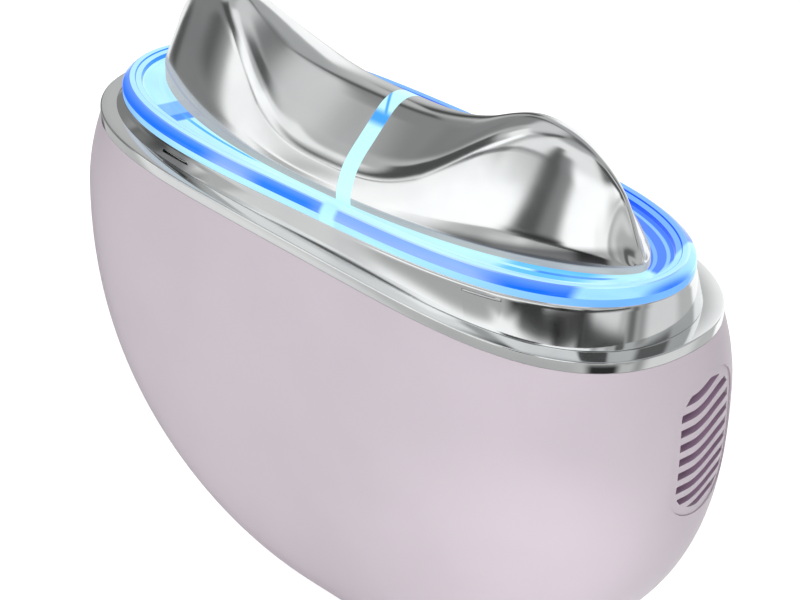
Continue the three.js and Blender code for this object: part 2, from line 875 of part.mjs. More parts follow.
function fanFrame() {
  const [y, z] = fanCentre;
  const square = roundedRectangle(2 * fanHalfSize, 2 * fanHalfSize, fanCorner, y, z);
  const frame = prismAlongX(square, [fanBack, fanFront]);
  const bore = bar("x", fanBore, [0, far], fanCentre, 24);
  const hub = bar("x", fanHubRadius, [fanBack, fanBack + fanSpokeThickness], fanCentre);
  const post = bar("x", fanPostRadius, [fanBack, fanFront - gap], fanCentre);
  const spokes = [0, 1, 2].map((k) => {
    const geometry = new THREE.BoxGeometry(fanSpokeThickness, fanSpokeWidth, fanBore + seatGap);
    geometry.translate(fanBack + fanSpokeThickness / 2, 0, (fanBore + seatGap) / 2);
    geometry.rotateX(k * 2 * Math.PI / 3).translate(0, y, z);
    return solid(geometry);
  });
  return join(cut(frame, bore), hub, post, ...spokes);
}

function fanRotor() {
  const [y, z] = fanCentre;
  const from = fanBack + fanSpokeThickness + gap;
  const to = fanFront - gap;
  const hub = bar("x", fanHubRadius, [from, to], fanCentre);
  const length = fanBore - bladeTipGap - fanHubRadius + bladeRoot;
  const blades = [];
  for (let k = 0; k < bladeCount; k++) {
    const geometry = new THREE.BoxGeometry(to - from, bladeThickness, length);
    geometry.translate(0, 0, fanHubRadius - bladeRoot + length / 2);
    geometry.rotateZ(bladeAngle).scale(bladeWidthRatio, 1, 1);
    geometry.rotateX(k * 2 * Math.PI / bladeCount).translate((from + to) / 2, y, z);
    blades.push(solid(geometry));
  }
  const bore = bar("x", fanPostRadius + gap, [0, far], fanCentre);
  return cut(join(hub, ...blades), bore);
}

function ventDuct() {
  const run = [fanFront + gap, far];
  const outer = prismAlongX(ventOpening(-ventBorder + ductWall), run);
  const inner = prismAlongX(ventOpening(-ventBorder), run);
  return cut(outer, inner).intersect(bodyForm(screenBack + gap, 1));
}

add("fan_frame", fanFrame(), blackPlastic);
add("fan_rotor", fanRotor(), blackPlastic);
add("vent_duct", ventDuct(), whitePlastic);

// Chassis: upright plate that fits the cup, with stand-offs, ledges, motor saddle and foot plate

const plateFace = chassisThickness / 2;
const portTop = portInset + portLength;
const portBoardBottom = portTop + seatGap;
const footPlateBottom = portBoardBottom + boardThickness + seatGap;
const boardFace = mainBoardPlace + mainBoardThickness;
const standoffPlaces = [];
for (const x of [-1, 1]) {
  for (const z of [standoffInset, mainBoardHeight - standoffInset]) {
    standoffPlaces.push([x * (mainBoardLength / 2 - standoffInset), mainBoardFloor + z]);
  }
}

// The chassis plate's outline: the cup's inner profile, cut level at the top and the foot
function chassisOutline() {
  const clear = wall + gap;
  const profile = hiddenLevels.map((depth) => bodyRing(depth, clear)[0]);
  const top = rimPlane - chassisTopDrop;
  const edge = [];
  for (let i = 1; i < profile.length; i++) {
    const [x0, , z0] = profile[i - 1];
    const [x1, , z1] = profile[i];
    for (const level of [top, footPlateBottom]) {
      if (z0 > level && z1 <= level) edge.push([x0 + (x1 - x0) * (z0 - level) / (z0 - z1), level]);
    }
    if (z1 < top && z1 > footPlateBottom) edge.push([x1, z1]);
  }
  edge.sort((a, b) => b[1] - a[1]);
  const points = edge.map(([x, z]) => new THREE.Vector2(-x, z));
  points.push(...edge.slice().reverse().map(([x, z]) => new THREE.Vector2(x, z)));
  return new THREE.Shape(points);
}

function chassis() {
  const face = [-plateFace, plateFace];
  const ventBlock = prismAlongX(ventOpening(ventFlangeLap + gap), ventReach);
  const ventRoom = bothEnds(cut(ventBlock, bodyForm(screenBack + gap, 1)));
  const plate = cut(
    prismAlongY(chassisOutline(), face),
    block([fanBack - gap, far], [-far, far], [ventHeight - fanHalfSize - gap, far]),
    bar("y", chassisHoleRadius, [-far, far], [-fanBack, ventHeight]),
    bar("y", chassisHoleRadius, [-far, far], [fanBack / 2, motorHeight]));
  const standoffs = standoffPlaces.map((place) =>
    bar("y", standoffRadius, [0, mainBoardPlace - seatGap], place, 12));
  const standoffHoles = standoffPlaces.map((place) =>
    bar("y", boardScrewRadius + gap, [plateFace, far], place, 12));
  const half = batteryLength / 2;
  const lower = batteryFloor - seatGap;
  const upper = batteryFloor + batteryHeight + seatGap;
  const reach = [-ledgeReach, 0];
  const lowerHalf = half - lowerLedgeInset;
  const upperHalf = half - upperLedgeInset;
  const ledges = [
    block([-lowerHalf, lowerHalf], reach, [lower - footPlateThickness, lower]),
    block([-upperHalf, upperHalf], reach, [upper, upper + footPlateThickness]),
  ];
  const footPlate = block(
    [-portBoardLength / 2 - footPlateOverhang, portBoardLength / 2 + footPlateOverhang],
    [-portBoardWidth / 2 - footPlateOverhang / 2, portBoardWidth / 2 + footPlateOverhang / 2],
    [footPlateBottom, footPlateBottom + footPlateThickness]);
  const saddle = block(
    [motorStart + saddleInset, motorStart + motorLength - saddleInset], [0, motorPlace],
    [footPlateBottom, motorHeight + motorRadius + footPlateThickness]);
  const motorRoom = bar("x", motorRadius + gap, [motorStart - 1, far], [motorPlace, motorHeight]);
  const fanShelf = block(
    [fanBack - fanShelfLap, fanBack + fanThickness], [-plateFace, ventPlace],
    [ventHeight - fanHalfSize - gap - footPlateThickness, ventHeight - fanHalfSize - gap]);
  const solidParts = join(plate, ...standoffs, ...ledges, footPlate, saddle, fanShelf);
  return cut(solidParts, ...standoffHoles, motorRoom, ventRoom);
}

add("chassis", chassis(), whitePlastic);

function batteryCell() {
  const middle = batteryFloor + batteryHeight / 2;
  const outline = roundedRectangle(batteryLength, batteryHeight, batteryCorner, 0, middle);
  const back = -plateFace - seatGap;
  return prismAlongY(outline, [back - batteryThickness, back]);
}

add("battery_cell", batteryCell(), batteryFoil);

// Main board on four stand-offs, with a screw in each and a switch behind each button

function mainBoard() {
  const middle = mainBoardFloor + mainBoardHeight / 2;
  const outline = roundedRectangle(mainBoardLength, mainBoardHeight, boardCorner, 0, middle);
  const holes = standoffPlaces.map((place) => bar("y", boardScrewRadius + gap, [0, far], place, 12));
  return cut(prismAlongY(outline, [mainBoardPlace, boardFace]), ...holes);
}

add("main_board", mainBoard(), boardGreen);

function boardScrew(place) {
  const under = boardFace + seatGap;
  const shaft = bar("y", boardScrewRadius, [under - boardScrewLength, under + seatGap], place, 12);
  const screwHead = bar("y", boardHeadRadius, [under, under + boardHeadHeight], place, 12);
  const [x, z] = place;
  const slotHalf = 2 * seatGap;
  const slot = block([x - far, x + far], [under + boardHeadHeight / 2, far], [z - slotHalf, z + slotHalf]);
  return cut(shaft.add(screwHead), slot);
}

standoffPlaces.forEach((place, i) => add(`board_screw_${i + 1}`, boardScrew(place), steel));

const switchFace = boardFace + seatGap + switchHeight;
const stemEnd = switchFace + plungerHeight + gap + buttonTravel;

function tactSwitch(x) {
  const half = switchSize / 2;
  const housing = block(
    [x - half, x + half], [boardFace + seatGap, switchFace], [buttonHeight - half, buttonHeight + half]);
  const plungerSpan = [boardFace + seatGap, switchFace + plungerHeight];
  const plunger = bar("y", plungerRadius, plungerSpan, [x, buttonHeight]);
  return housing.add(plunger);
}

// Button: stem, retaining flange under the shell and a cap that follows the body's surface
function button(x) {
  const innerWall = rimHalfWidth + beltOverhangWidth - wall;
  const flangeTop = innerWall - buttonFlangeThickness - gap;
  const profile = [
    [0, stemEnd],
    [buttonStemRadius, stemEnd],
    [buttonStemRadius, flangeTop - buttonFlangeThickness],
    [buttonFlangeRadius, flangeTop - buttonFlangeThickness],
    [buttonFlangeRadius, flangeTop],
    [buttonRadius, flangeTop],
    [buttonRadius, far],
    [0, far],
  ];
  const geometry = new THREE.LatheGeometry(profile.map(([r, y]) => new THREE.Vector2(r, y)), roundSides);
  geometry.translate(x, 0, buttonHeight);
  return roundSolid(geometry).intersect(bodyForm(buttonRecess, 0, bodyLevels));
}

for (const [name, x] of [["power", -buttonSpacing / 2], ["mode", buttonSpacing / 2]]) {
  add(`switch_${name}`, tactSwitch(x), blackPlastic);
  add(`${name}_button`, button(x), darkLavender);
}

// Indicator: a light pipe from the main board to the rear face, between the buttons
function indicatorLens() {
  const innerWall = rimHalfWidth + beltOverhangWidth - wall;
  const flangeTop = innerWall - buttonFlangeThickness;
  const flangeSpan = [flangeTop - buttonFlangeThickness, flangeTop];
  const pipe = bar("y", lensRadius, [boardFace + gap, far], [0, buttonHeight]);
  const flange = bar("y", lensFlangeRadius, flangeSpan, [0, buttonHeight]);
  return pipe.add(flange).intersect(bodyForm(buttonRecess, 0, bodyLevels));
}

add("indicator_lens", indicatorLens(), lightGuide);

// Charging port: socket with its tongue, small board above it and a seal on the cup's floor

function usbSocket() {
  const radius = portDepth / 2 - seatGap;
  const outer = prismAlongZ(roundedRectangle(portWidth, portDepth, radius), [portInset, portTop]);
  const mouthRoom = prismAlongZ(
    roundedRectangle(portWidth - 2 * portWall, portDepth - 2 * portWall, radius - portWall),
    [0, portTop - portBack]);
  const tongue = block(
    [portTongueInset - portWidth / 2, portWidth / 2 - portTongueInset], [-portTongue / 2, portTongue / 2],
    [portInset + portBack, portTop]);
  return cut(outer, mouthRoom).add(tongue);
}

function usbGasket() {
  const hole = [portWidth + 2 * gap, portDepth + 2 * gap];
  const rim = hole.map((size) => size + 2 * portGasketRim);
  const span = [wall + gap, wall + gap + portGasketHeight];
  const inner = prismAlongZ(roundedRectangle(...hole, hole[1] / 2 - gap), [0, far]);
  return cut(prismAlongZ(roundedRectangle(...rim, rim[1] / 2 - gap), span), inner);
}

function portBoard() {
  const outline = roundedRectangle(portBoardLength, portBoardWidth, boardCorner);
  return prismAlongZ(outline, [portBoardBottom, portBoardBottom + boardThickness]);
}

add("usb_socket", usbSocket(), steel);
add("usb_gasket", usbGasket(), blackRubber);
add("port_board", portBoard(), boardGreen);

// Vibration motor in the chassis saddle, with an eccentric weight on its shaft

const motorCentre = [motorPlace, motorHeight];
const motorEnd = motorStart + motorLength;

function vibrationMotor() {
  const can = bar("x", motorRadius, [motorStart, motorEnd], motorCentre);
  const shaftEnd = motorEnd + weightLength + 3 * gap;
  const shaft = bar("x", motorShaftRadius, [motorStart, shaftEnd], motorCentre, 12);
  return can.add(shaft);
}

function motorWeight() {
  const from = motorEnd + gap;
  const to = from + weightLength;
  const [y, z] = motorCentre;
  const round = bar("x", weightRadius, [from, to], motorCentre);
  const sleeve = bar("x", motorShaftRadius + 3 * gap, [from, to], motorCentre);
  const upper = block([0, far], [y - far, y + far], [z, z + far]);
  const bore = bar("x", motorShaftRadius + gap, [0, far], motorCentre, 12);
  return cut(cut(round, upper).add(sleeve), bore);
}

add("vibration_motor", vibrationMotor(), steel);
add("motor_weight", motorWeight(), steel);

export default part;
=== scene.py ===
# Looks of the palm-held facial wand: satin lavender body, chrome rim, collar and electrodes,
# a lit ring with its light strip, wave-slot vents, and the studio and camera around them.
import json
import math
from typing import NamedTuple

import bmesh
import bpy
import numpy as np
from mathutils import Matrix, Vector


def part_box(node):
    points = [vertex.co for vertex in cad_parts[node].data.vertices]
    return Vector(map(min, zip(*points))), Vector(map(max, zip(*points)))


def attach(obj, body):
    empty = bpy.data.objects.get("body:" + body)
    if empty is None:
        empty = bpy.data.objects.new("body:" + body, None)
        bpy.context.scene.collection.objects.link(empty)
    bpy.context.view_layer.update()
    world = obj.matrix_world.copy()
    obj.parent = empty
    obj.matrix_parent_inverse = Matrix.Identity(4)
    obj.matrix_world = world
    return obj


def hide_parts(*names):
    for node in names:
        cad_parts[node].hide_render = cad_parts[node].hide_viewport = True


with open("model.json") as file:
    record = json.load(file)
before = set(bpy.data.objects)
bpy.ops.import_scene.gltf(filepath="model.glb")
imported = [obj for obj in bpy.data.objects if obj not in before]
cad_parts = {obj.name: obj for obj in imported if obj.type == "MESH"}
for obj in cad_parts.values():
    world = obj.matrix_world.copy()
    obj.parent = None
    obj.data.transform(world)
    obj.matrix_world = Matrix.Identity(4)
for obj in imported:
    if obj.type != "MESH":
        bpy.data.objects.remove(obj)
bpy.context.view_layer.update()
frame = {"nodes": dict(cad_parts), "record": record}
nodes = frame["nodes"]

MM = 0.001

# Rim and body, in millimetres
RIM_HALF_LENGTH = 50
RIM_HALF_WIDTH = 18.75
RIM_LENGTH_POWER = 4.39
RIM_WIDTH_POWER = 2.24
BAND_HEIGHT = 1.5
BAND_EDGE = 0.22
BAND_SEAT = 1.2
LEDGE_UNDER_COLLAR = 1
BELT_DEPTH = 10
BELT_OVERHANG_LENGTH = 1.35
BELT_OVERHANG_WIDTH = 1.6
BELLY_DEPTH = 58.1
FOOT_CUT = 0.72
END_CURVE_POWER = 2.58
END_FILL_POWER = 1.84
SIDE_CURVE_POWER = 1.5
SIDE_FILL_POWER = 3.29
WALL = 2.2
SHELL_EDGE = 0.22
FOOT_DEPTH = BELLY_DEPTH - FOOT_CUT
RIM_PLANE = FOOT_DEPTH + BAND_HEIGHT

# Collar
COLLAR_HALF_LENGTH = 48.1
COLLAR_HALF_WIDTH = 16.87
COLLAR_LENGTH_POWER = 4.26
COLLAR_WIDTH_POWER = 2.11
COLLAR_SHIFT = -0.375
COLLAR_LIP = 0.3
COLLAR_FOOT_WALL = 1.3
COLLAR_TOP_WALL = 3.2
COLLAR_INNER_DROP = 1
COLLAR_SHOULDER = 0.5
COLLAR_EDGE = 0.12
COLLAR_BREAK = 0.08
COLLAR_FOOT_GAP = 0.005
HAIRLINE = 0.02

# Snap windows in the collar, with heights in the head plane
SNAP_PLACES = (-24.5, 30.8)
SNAP_HALF_LENGTH = 2.8
SNAP_BOTTOM = -1.12
SNAP_TOP = -0.78
SNAP_CUT_OUT = 2
SNAP_CUT_DEPTH = 0.04
SNAP_EDGE = 0.06
SNAP_ROOT = 0.9
LIP_HEIGHTS = (-1.09, -0.9)
LIP_PROUD = 0.18
LIP_END_GAP = 0.06
HOOK_HEIGHTS = (-1.09, -0.74)
HOOK_PROUD = 0.2
HOOK_HALF_LENGTH = 0.35
HOOK_FROM_END = 0.45

# Head plane with the ring and the electrodes
HEAD_TILT = 0.052
HEAD_SHIFT = -0.62
HEAD_PLANE = RIM_PLANE + 3.15
RING_HALF_LENGTH = 48.1
RING_HALF_WIDTH = 16.4
RING_LENGTH_POWER = 3.5
RING_WIDTH_POWER = 2.02
RING_WALL_HEIGHT = 1.3
RING_HEIGHT = 2.2
RING_FLOOR = 1.2
RING_FLOOR_INSET = 2.75
RING_UNDER_ELECTRODES = 1.5
ELECTRODE_HALF_LENGTH = 43.5
ELECTRODE_HALF_WIDTH = 12.8
ELECTRODE_LENGTH_POWER = 2.25
ELECTRODE_WIDTH_POWER = 1.65
ELECTRODE_BASE = 1.5
ELECTRODE_BAND = 0.8
ELECTRODE_END_BAND = 1.2
RIGHT_END_SHARE = 0.2
LOBE_PLACE = 28
LOBE_POWER = 1.5
SADDLE_HEIGHT = 11.6
LOBE_RISE = 5.4
SADDLE_CREASE = 5.9
CREASE_RISE = 10
CREASE_END_POWER = 1.7
LEAST_RIDGE = 0.6
LEAST_CREASE = 0.3
FLANK_SLOPE = 0.4
BACK_FLANK_SLOPE = 0.75
RIDGE_LIFT = 0.5
FLANK_BELLY = 0.06
BELLY_PLACE = 0.3
BACK_CREASE_DROP = 3.2
DROP_FADE_HEIGHT = 6
TIP_ROUND = 3.5
TIP_CUT = 0.03
NOSE_REACH = 16.5
NOSE_WIDTH_SHARE = 0.35
NOSE_BLEND_SHARE = 0.06
STRIP_WIDTH = 2.5
STRIP_PLACE = 1
STRIP_SLANT = 0.25
STRIP_GAP = 0.03

# Vents
VENT_PLACE = 4.1
VENT_HEIGHT = RIM_PLANE - 14.9
VENT_HALF_WIDTH = 6.3
VENT_HALF_HEIGHT = 10
VENT_END_RISE = 5.2
VENT_BORDER = 1.2
VENT_GROOVE = 0.03
VENT_RECESS = 0.2
VENT_THICKNESS = 1.6
VENT_MARGIN = 2
VENT_EDGE = 0.07
SLOT_COUNT = 9
SLOT_PITCH = 2.02
SLOT_HEIGHT = 1.05
SLOT_WAVE = 1.4
SLOT_CUT_DEPTH = 10
SLOT_HALF_LENGTH = VENT_HALF_WIDTH - VENT_BORDER * 0.9
SLOT_PLACE = RIM_HALF_LENGTH * 0.98
SWING_START = -0.6
SWING_END = 0.56

# Buttons, indicator and port
BUTTON_HEIGHT = RIM_PLANE - 18
BUTTON_SPACING = 16
BUTTON_RADIUS = 4.2
BUTTON_GAP = 0.15
BUTTON_EDGE = 0.25
STEM_RADIUS = 1.5
FLANGE_RADIUS = 5.2
FLANGE_THICKNESS = 1
FLANGE_GAP = 1.3
CAP_RECESS = 0.25
CAP_DISH = 0.25
LENS_RADIUS = 1.1
LENS_GAP = 0.08
PORT_LENGTH = 9.5
PORT_WIDTH = 3.8
PORT_LENGTH_POWER = 6
PORT_WIDTH_POWER = 2.2

# How far the cutters reach
CUT_START = RIM_HALF_LENGTH * 0.5
CUT_END = RIM_HALF_LENGTH * 1.3
SLAB_REACH = RIM_HALF_LENGTH * 1.4
SLAB_HEIGHTS = (-5, 40)

# Facets of the fine meshes, and the angles in degrees past which an edge stays sharp or is bevelled
QUARTER = 60
BELT_RINGS = 14
BELLY_RINGS = 62
BELLY_CROWDING = 1.9
INNER_RING_STEP = 3
ELECTRODE_STATIONS = 280
ELECTRODE_ROUND_STEPS = 16
PANEL_COLUMNS = 60
PANEL_ROWS = 90
HOLE_FACETS = 64
CAP_FACETS = 72
SHARP = 32
ELECTRODE_SHARP = 50
BEVEL_FROM = 40

# Light in the ring and the strip: places in metres, as materials read them, and colours
PALE_STRETCHES = ((-0.018, -0.01), (0.003, 0.031))
WEDGE_SLANT = -0.28
WEDGES = ((-0.0325, -0.001, 0.55), (-0.0285, -0.003, 0.7))
WEDGE_END = -0.0265
REAR_SLANT = 0.29
REAR_STRETCH = (-0.035, 0.0443)
BEAM_PLACE = 0.00035
BEAM_HALF_WIDTH = 0.0013
BEAM_COLOUR = (192, 250, 255)
CRISP_EDGE = 0.0003
STRIP_COLOUR = (196, 250, 255)
# The strip's blue band is a painted dip in its reflection
STRIP_BAND = (-0.0054, -0.0036)
STRIP_BAND_COLOUR = (70, 165, 250)
STRIP_LINE = (-0.0020, -0.0015)
STRIP_LINE_SLANT = 0.55
STRIP_LINE_COLOUR = (80, 170, 250)
STRIP_REAR_COLOUR = (110, 190, 255)
MIRRORED_LIGHT = (196, 198, 200)


def srgb(red, green, blue):
    """A colour read as 0 to 255, as the renderer's linear values."""
    channels = [value / 255 for value in (red, green, blue)]
    linear = [c / 12.92 if c <= 0.04045 else ((c + 0.055) / 1.055) ** 2.4 for c in channels]
    return (*linear, 1)


# Outlines and rings

def oval(a, b, p, q, steps=QUARTER):
    """Points of |x/a|^p + |y/b|^q = 1, spaced evenly along each quarter."""
    turn = np.linspace(0, math.pi / 2, 1500)
    x = a * np.cos(turn).clip(0) ** (2 / p)
    y = b * np.sin(turn) ** (2 / q)
    run = np.concatenate([[0], np.cumsum(np.hypot(np.diff(x), np.diff(y)))])
    wanted = np.linspace(0, run[-1], steps + 1)[:-1]
    quarter = np.c_[np.interp(wanted, run, x), np.interp(wanted, run, y)]
    back = quarter[:0:-1] * (-1, 1)
    half = np.vstack([quarter, [[0, b]], back])
    return np.vstack([half, -half])


def level(points, z):
    """Flat points, all at one height."""
    return np.c_[points, np.full(len(points), float(z))]


def body_half_sizes(depth):
    """Half the body's length and width at a depth below the shell's mouth."""
    length = RIM_HALF_LENGTH + BELT_OVERHANG_LENGTH
    width = RIM_HALF_WIDTH + BELT_OVERHANG_WIDTH
    if depth < BELT_DEPTH:
        rise = ((BELT_DEPTH - depth) / BELT_DEPTH) ** 2
        return length - BELT_OVERHANG_LENGTH * rise, width - BELT_OVERHANG_WIDTH * rise
    fall = (depth - BELT_DEPTH) / (BELLY_DEPTH - BELT_DEPTH)
    return (
        length * (1 - fall ** END_CURVE_POWER) ** (1 / END_FILL_POWER),
        width * (1 - fall ** SIDE_CURVE_POWER) ** (1 / SIDE_FILL_POWER),
    )


def body_outline(depth):
    length, width = body_half_sizes(depth)
    return level(oval(length, width, RIM_LENGTH_POWER, RIM_WIDTH_POWER), FOOT_DEPTH - depth)


def body_ring(depth, inset=0.0):
    """The body's outline at a depth, moved square to the surface by an inset."""
    outline = body_outline(depth)
    if inset == 0:
        return outline
    step = 0.05
    above = body_outline(max(depth - step, 0))
    below = body_outline(min(depth + step, FOOT_DEPTH))
    along = np.roll(outline, -1, 0) - np.roll(outline, 1, 0)
    normal = np.cross(along, above - below)
    return outline - inset * normal / np.linalg.norm(normal, axis=1)[:, None]


def body_end(y, z, inset):
    """How far the body reaches along X at a height and a distance from the middle plane."""
    length, width = body_half_sizes(FOOT_DEPTH - z)
    return (length - inset) * (1 - (abs(y) / (width - inset)) ** RIM_WIDTH_POWER) ** (1 / RIM_LENGTH_POWER)


def body_side(x, z, inset):
    """How far the body reaches along Y at a height and a distance from the middle."""
    length, width = body_half_sizes(FOOT_DEPTH - z)
    return (width - inset) * (1 - (abs(x) / (length - inset)) ** RIM_LENGTH_POWER) ** (1 / RIM_WIDTH_POWER)


def from_head(points):
    """Points of the head's own frame, moved into the part's frame."""
    x, y, z = np.asarray(points, float).T
    cosine = math.cos(HEAD_TILT)
    sine = math.sin(HEAD_TILT)
    return np.c_[HEAD_SHIFT + x * cosine - z * sine, y, HEAD_PLANE + x * sine + z * cosine]


def rim_ring(inset, z):
    return level(oval(RIM_HALF_LENGTH - inset, RIM_HALF_WIDTH - inset, RIM_LENGTH_POWER, RIM_WIDTH_POWER), z)


def collar_ring(inset, z):
    ring = level(oval(
        COLLAR_HALF_LENGTH - inset, COLLAR_HALF_WIDTH - inset, COLLAR_LENGTH_POWER, COLLAR_WIDTH_POWER), z)
    return ring + (COLLAR_SHIFT, 0, 0)


def light_ring_outline(inset, z):
    return level(oval(
        RING_HALF_LENGTH - inset, RING_HALF_WIDTH - inset, RING_LENGTH_POWER, RING_WIDTH_POWER), z)


def electrode_outline(inset, z):
    return level(oval(
        ELECTRODE_HALF_LENGTH - inset, ELECTRODE_HALF_WIDTH - inset,
        ELECTRODE_LENGTH_POWER, ELECTRODE_WIDTH_POWER), z)


def rounded(rings, radii, steps=4, hoop=True):
    """The rings of a section with its corners rounded, each by its own radius, and each ring's corner."""
    most = 0.48
    result = []
    tags = []
    count = len(rings)
    for k, radius in enumerate(radii):
        ring = rings[k]
        if radius == 0 or (not hoop and k in (0, count - 1)):
            result.append(ring)
            tags.append(k)
            continue
        before = rings[k - 1] - ring
        after = rings[(k + 1) % count] - ring
        before_length = np.linalg.norm(before, axis=1)[:, None]
        after_length = np.linalg.norm(after, axis=1)[:, None]
        start = ring + before / before_length * np.minimum(radius, before_length * most)
        end = ring + after / after_length * np.minimum(radius, after_length * most)
        for share in np.linspace(0, 1, steps + 1):
            result.append((1 - share) ** 2 * start + 2 * share * (1 - share) * ring + share ** 2 * end)
            tags.append(k)
    return result, tags


# Meshes

def add_object(name, data):
    thing = bpy.data.objects.new(name, data)
    bpy.context.scene.collection.objects.link(thing)
    return thing


def skin(name, rings, hoop=False, sharp=SHARP):
    """A closed piece from rings of equal point counts, given in millimetres."""
    count = len(rings[0])
    points = np.vstack(rings) * MM
    faces = []
    spans = len(rings) if hoop else len(rings) - 1
    for r in range(spans):
        low = r * count
        high = (r + 1) % len(rings) * count
        faces += [(low + i, low + (i + 1) % count, high + (i + 1) % count, high + i) for i in range(count)]
    if not hoop:
        faces.append(tuple(range(count))[::-1])
        faces.append(tuple(range((len(rings) - 1) * count, len(rings) * count)))
    mesh = bpy.data.meshes.new(name)
    mesh.from_pydata(points.tolist(), [], faces)
    point_out(mesh)
    mesh.shade_smooth()
    mesh.set_sharp_from_angle(angle=math.radians(sharp))
    return add_object(name, mesh)


def point_out(mesh):
    """Joins doubled points and turns all faces outwards."""
    shape = bmesh.new()
    shape.from_mesh(mesh)
    bmesh.ops.remove_doubles(shape, verts=shape.verts, dist=1e-7)
    bmesh.ops.recalc_face_normals(shape, faces=shape.faces)
    shape.to_mesh(mesh)
    shape.free()


def apply_modifiers(piece):
    """Turns a piece with its modifiers into a plain mesh."""
    graph = bpy.context.evaluated_depsgraph_get()
    mesh = bpy.data.meshes.new_from_object(piece.evaluated_get(graph))
    piece.modifiers.clear()
    piece.data = mesh


def carve(piece, *cutters, operation="DIFFERENCE", sharp=SHARP, materials="INDEX"):
    """Cuts a piece by others and clears the cutters away."""
    for cutter in cutters:
        step = piece.modifiers.new("cut", "BOOLEAN")
        step.operation = operation
        step.solver = "EXACT"
        step.material_mode = materials
        step.object = cutter
        apply_modifiers(piece)
        bpy.data.objects.remove(cutter)
    piece.data.shade_smooth()
    piece.data.set_sharp_from_angle(angle=math.radians(sharp))


def soften(piece, width, segments=2):
    """Breaks a piece's sharp edges by a small width in millimetres."""
    edge = piece.modifiers.new("edge", "BEVEL")
    edge.width = width * MM
    edge.segments = segments
    edge.limit_method = "ANGLE"
    edge.angle_limit = math.radians(BEVEL_FROM)
    apply_modifiers(piece)


def prism(name, outline, start, end, axis):
    """A closed prism of an outline, along X or Y or Z."""
    order = {"X": (2, 0, 1), "Y": (0, 2, 1), "Z": (0, 1, 2)}[axis]
    rings = [level(outline, depth)[:, order] for depth in (start, end)]
    return skin(name, rings)


def vent_outline(margin):
    """The vent's outline, seen along X: straight sides and half-elliptic ends."""
    straight = VENT_HALF_HEIGHT - VENT_END_RISE
    half_width = VENT_HALF_WIDTH + margin
    rise = VENT_END_RISE + margin
    turn = np.linspace(0, math.pi, 28)
    half = np.c_[half_width * np.cos(turn), straight + rise * np.sin(turn)]
    return np.vstack([half, -half]) + (VENT_PLACE, VENT_HEIGHT)


def fold_in(piece, other):
    """Adds another piece's mesh to a piece and clears the other away."""
    shape = bmesh.new()
    shape.from_mesh(piece.data)
    shape.from_mesh(other.data)
    shape.to_mesh(piece.data)
    shape.free()
    bpy.data.objects.remove(other)


def half_turned(piece):
    """A copy of a piece, turned half round about Z."""
    twin = piece.copy()
    twin.data = piece.data.copy()
    twin.data.transform(Matrix.Rotation(math.pi, 4, "Z"))
    bpy.context.scene.collection.objects.link(twin)
    return twin


# Node helpers

class Graph:
    """Short calls for a node tree."""

    def __init__(self, tree):
        self.tree = tree

    def add(self, kind, links=None, **settings):
        node = self.tree.nodes.new(kind)
        for key, value in settings.items():
            setattr(node, key, value)
        self.feed(node, links or {})
        return node

    def feed(self, node, links):
        """Gives a node's inputs their values or links."""
        for key, value in links.items():
            if isinstance(value, bpy.types.NodeSocket):
                self.tree.links.new(value, node.inputs[key])
            else:
                node.inputs[key].default_value = value

    def math(self, operation, first, second=0.0):
        return self.add("ShaderNodeMath", {0: first, 1: second}, operation=operation).outputs[0]

    def plus(self, first, second):
        return self.math("ADD", first, second)

    def minus(self, first, second):
        return self.math("SUBTRACT", first, second)

    def times(self, first, second):
        return self.math("MULTIPLY", first, second)

    def mix(self, share, first, second):
        return self.add("ShaderNodeMix", {0: share, 6: first, 7: second}, data_type="RGBA").outputs[2]

    def smooth(self, value, low, high):
        """Zero at the low value, rising softly to one at the high one."""
        ends = {0: value, 1: low, 2: high}
        return self.add("ShaderNodeMapRange", ends, interpolation_type="SMOOTHSTEP").outputs[0]

    def window(self, value, low, high, soft):
        """One between two values and nothing outside them, with soft edges."""
        rise = self.smooth(value, low - soft, low + soft)
        fall = self.smooth(value, high - soft, high + soft)
        return self.minus(rise, fall)

    def split(self, vector):
        """A vector's three numbers."""
        return self.add("ShaderNodeSeparateXYZ", {0: vector}).outputs


def material(name):
    """An empty material: its graph, its surface shader and its object coordinates."""
    made = bpy.data.materials.new(name)
    made.use_nodes = True
    made.node_tree.nodes.clear()
    graph = Graph(made.node_tree)
    shader = graph.add("ShaderNodeBsdfPrincipled")
    graph.add("ShaderNodeOutputMaterial", {0: shader.outputs[0]})
    place = graph.add("ShaderNodeTexCoord").outputs["Object"]
    return made, graph, shader, place


def grain(graph, place, scale, detail=3.0):
    """Fine noise over the piece, as a value around one half."""
    noise = graph.add(
        "ShaderNodeTexNoise", {"Vector": place, "Scale": scale, "Detail": detail, "Roughness": 0.5})
    return noise.outputs[0]


def bump(graph, shader, height, strength, distance):
    node = graph.add("ShaderNodeBump", {"Height": height, "Strength": strength, "Distance": distance})
    graph.feed(shader, {"Normal": node.outputs[0]})


# Materials

def satin_lavender(name="satin lavender", colour=(214, 203, 212), shade=(209, 198, 207)):
    made, graph, shader, place = material(name)
    cloud = graph.smooth(grain(graph, place, 35), 0.35, 0.65)
    lavender = graph.mix(cloud, srgb(*colour), srgb(*shade))
    fine = grain(graph, place, 5200, 2)
    rough = graph.add("ShaderNodeMapRange", {0: fine, 1: 0.3, 2: 0.7, 3: 0.4, 4: 0.48}).outputs[0]
    graph.feed(shader, {
        "Base Color": lavender, "Roughness": rough, "Specular IOR Level": 0.42,
        "Coat Weight": 0.12, "Coat Roughness": 0.3})
    bump(graph, shader, fine, 0.12, 0.00001)
    return made


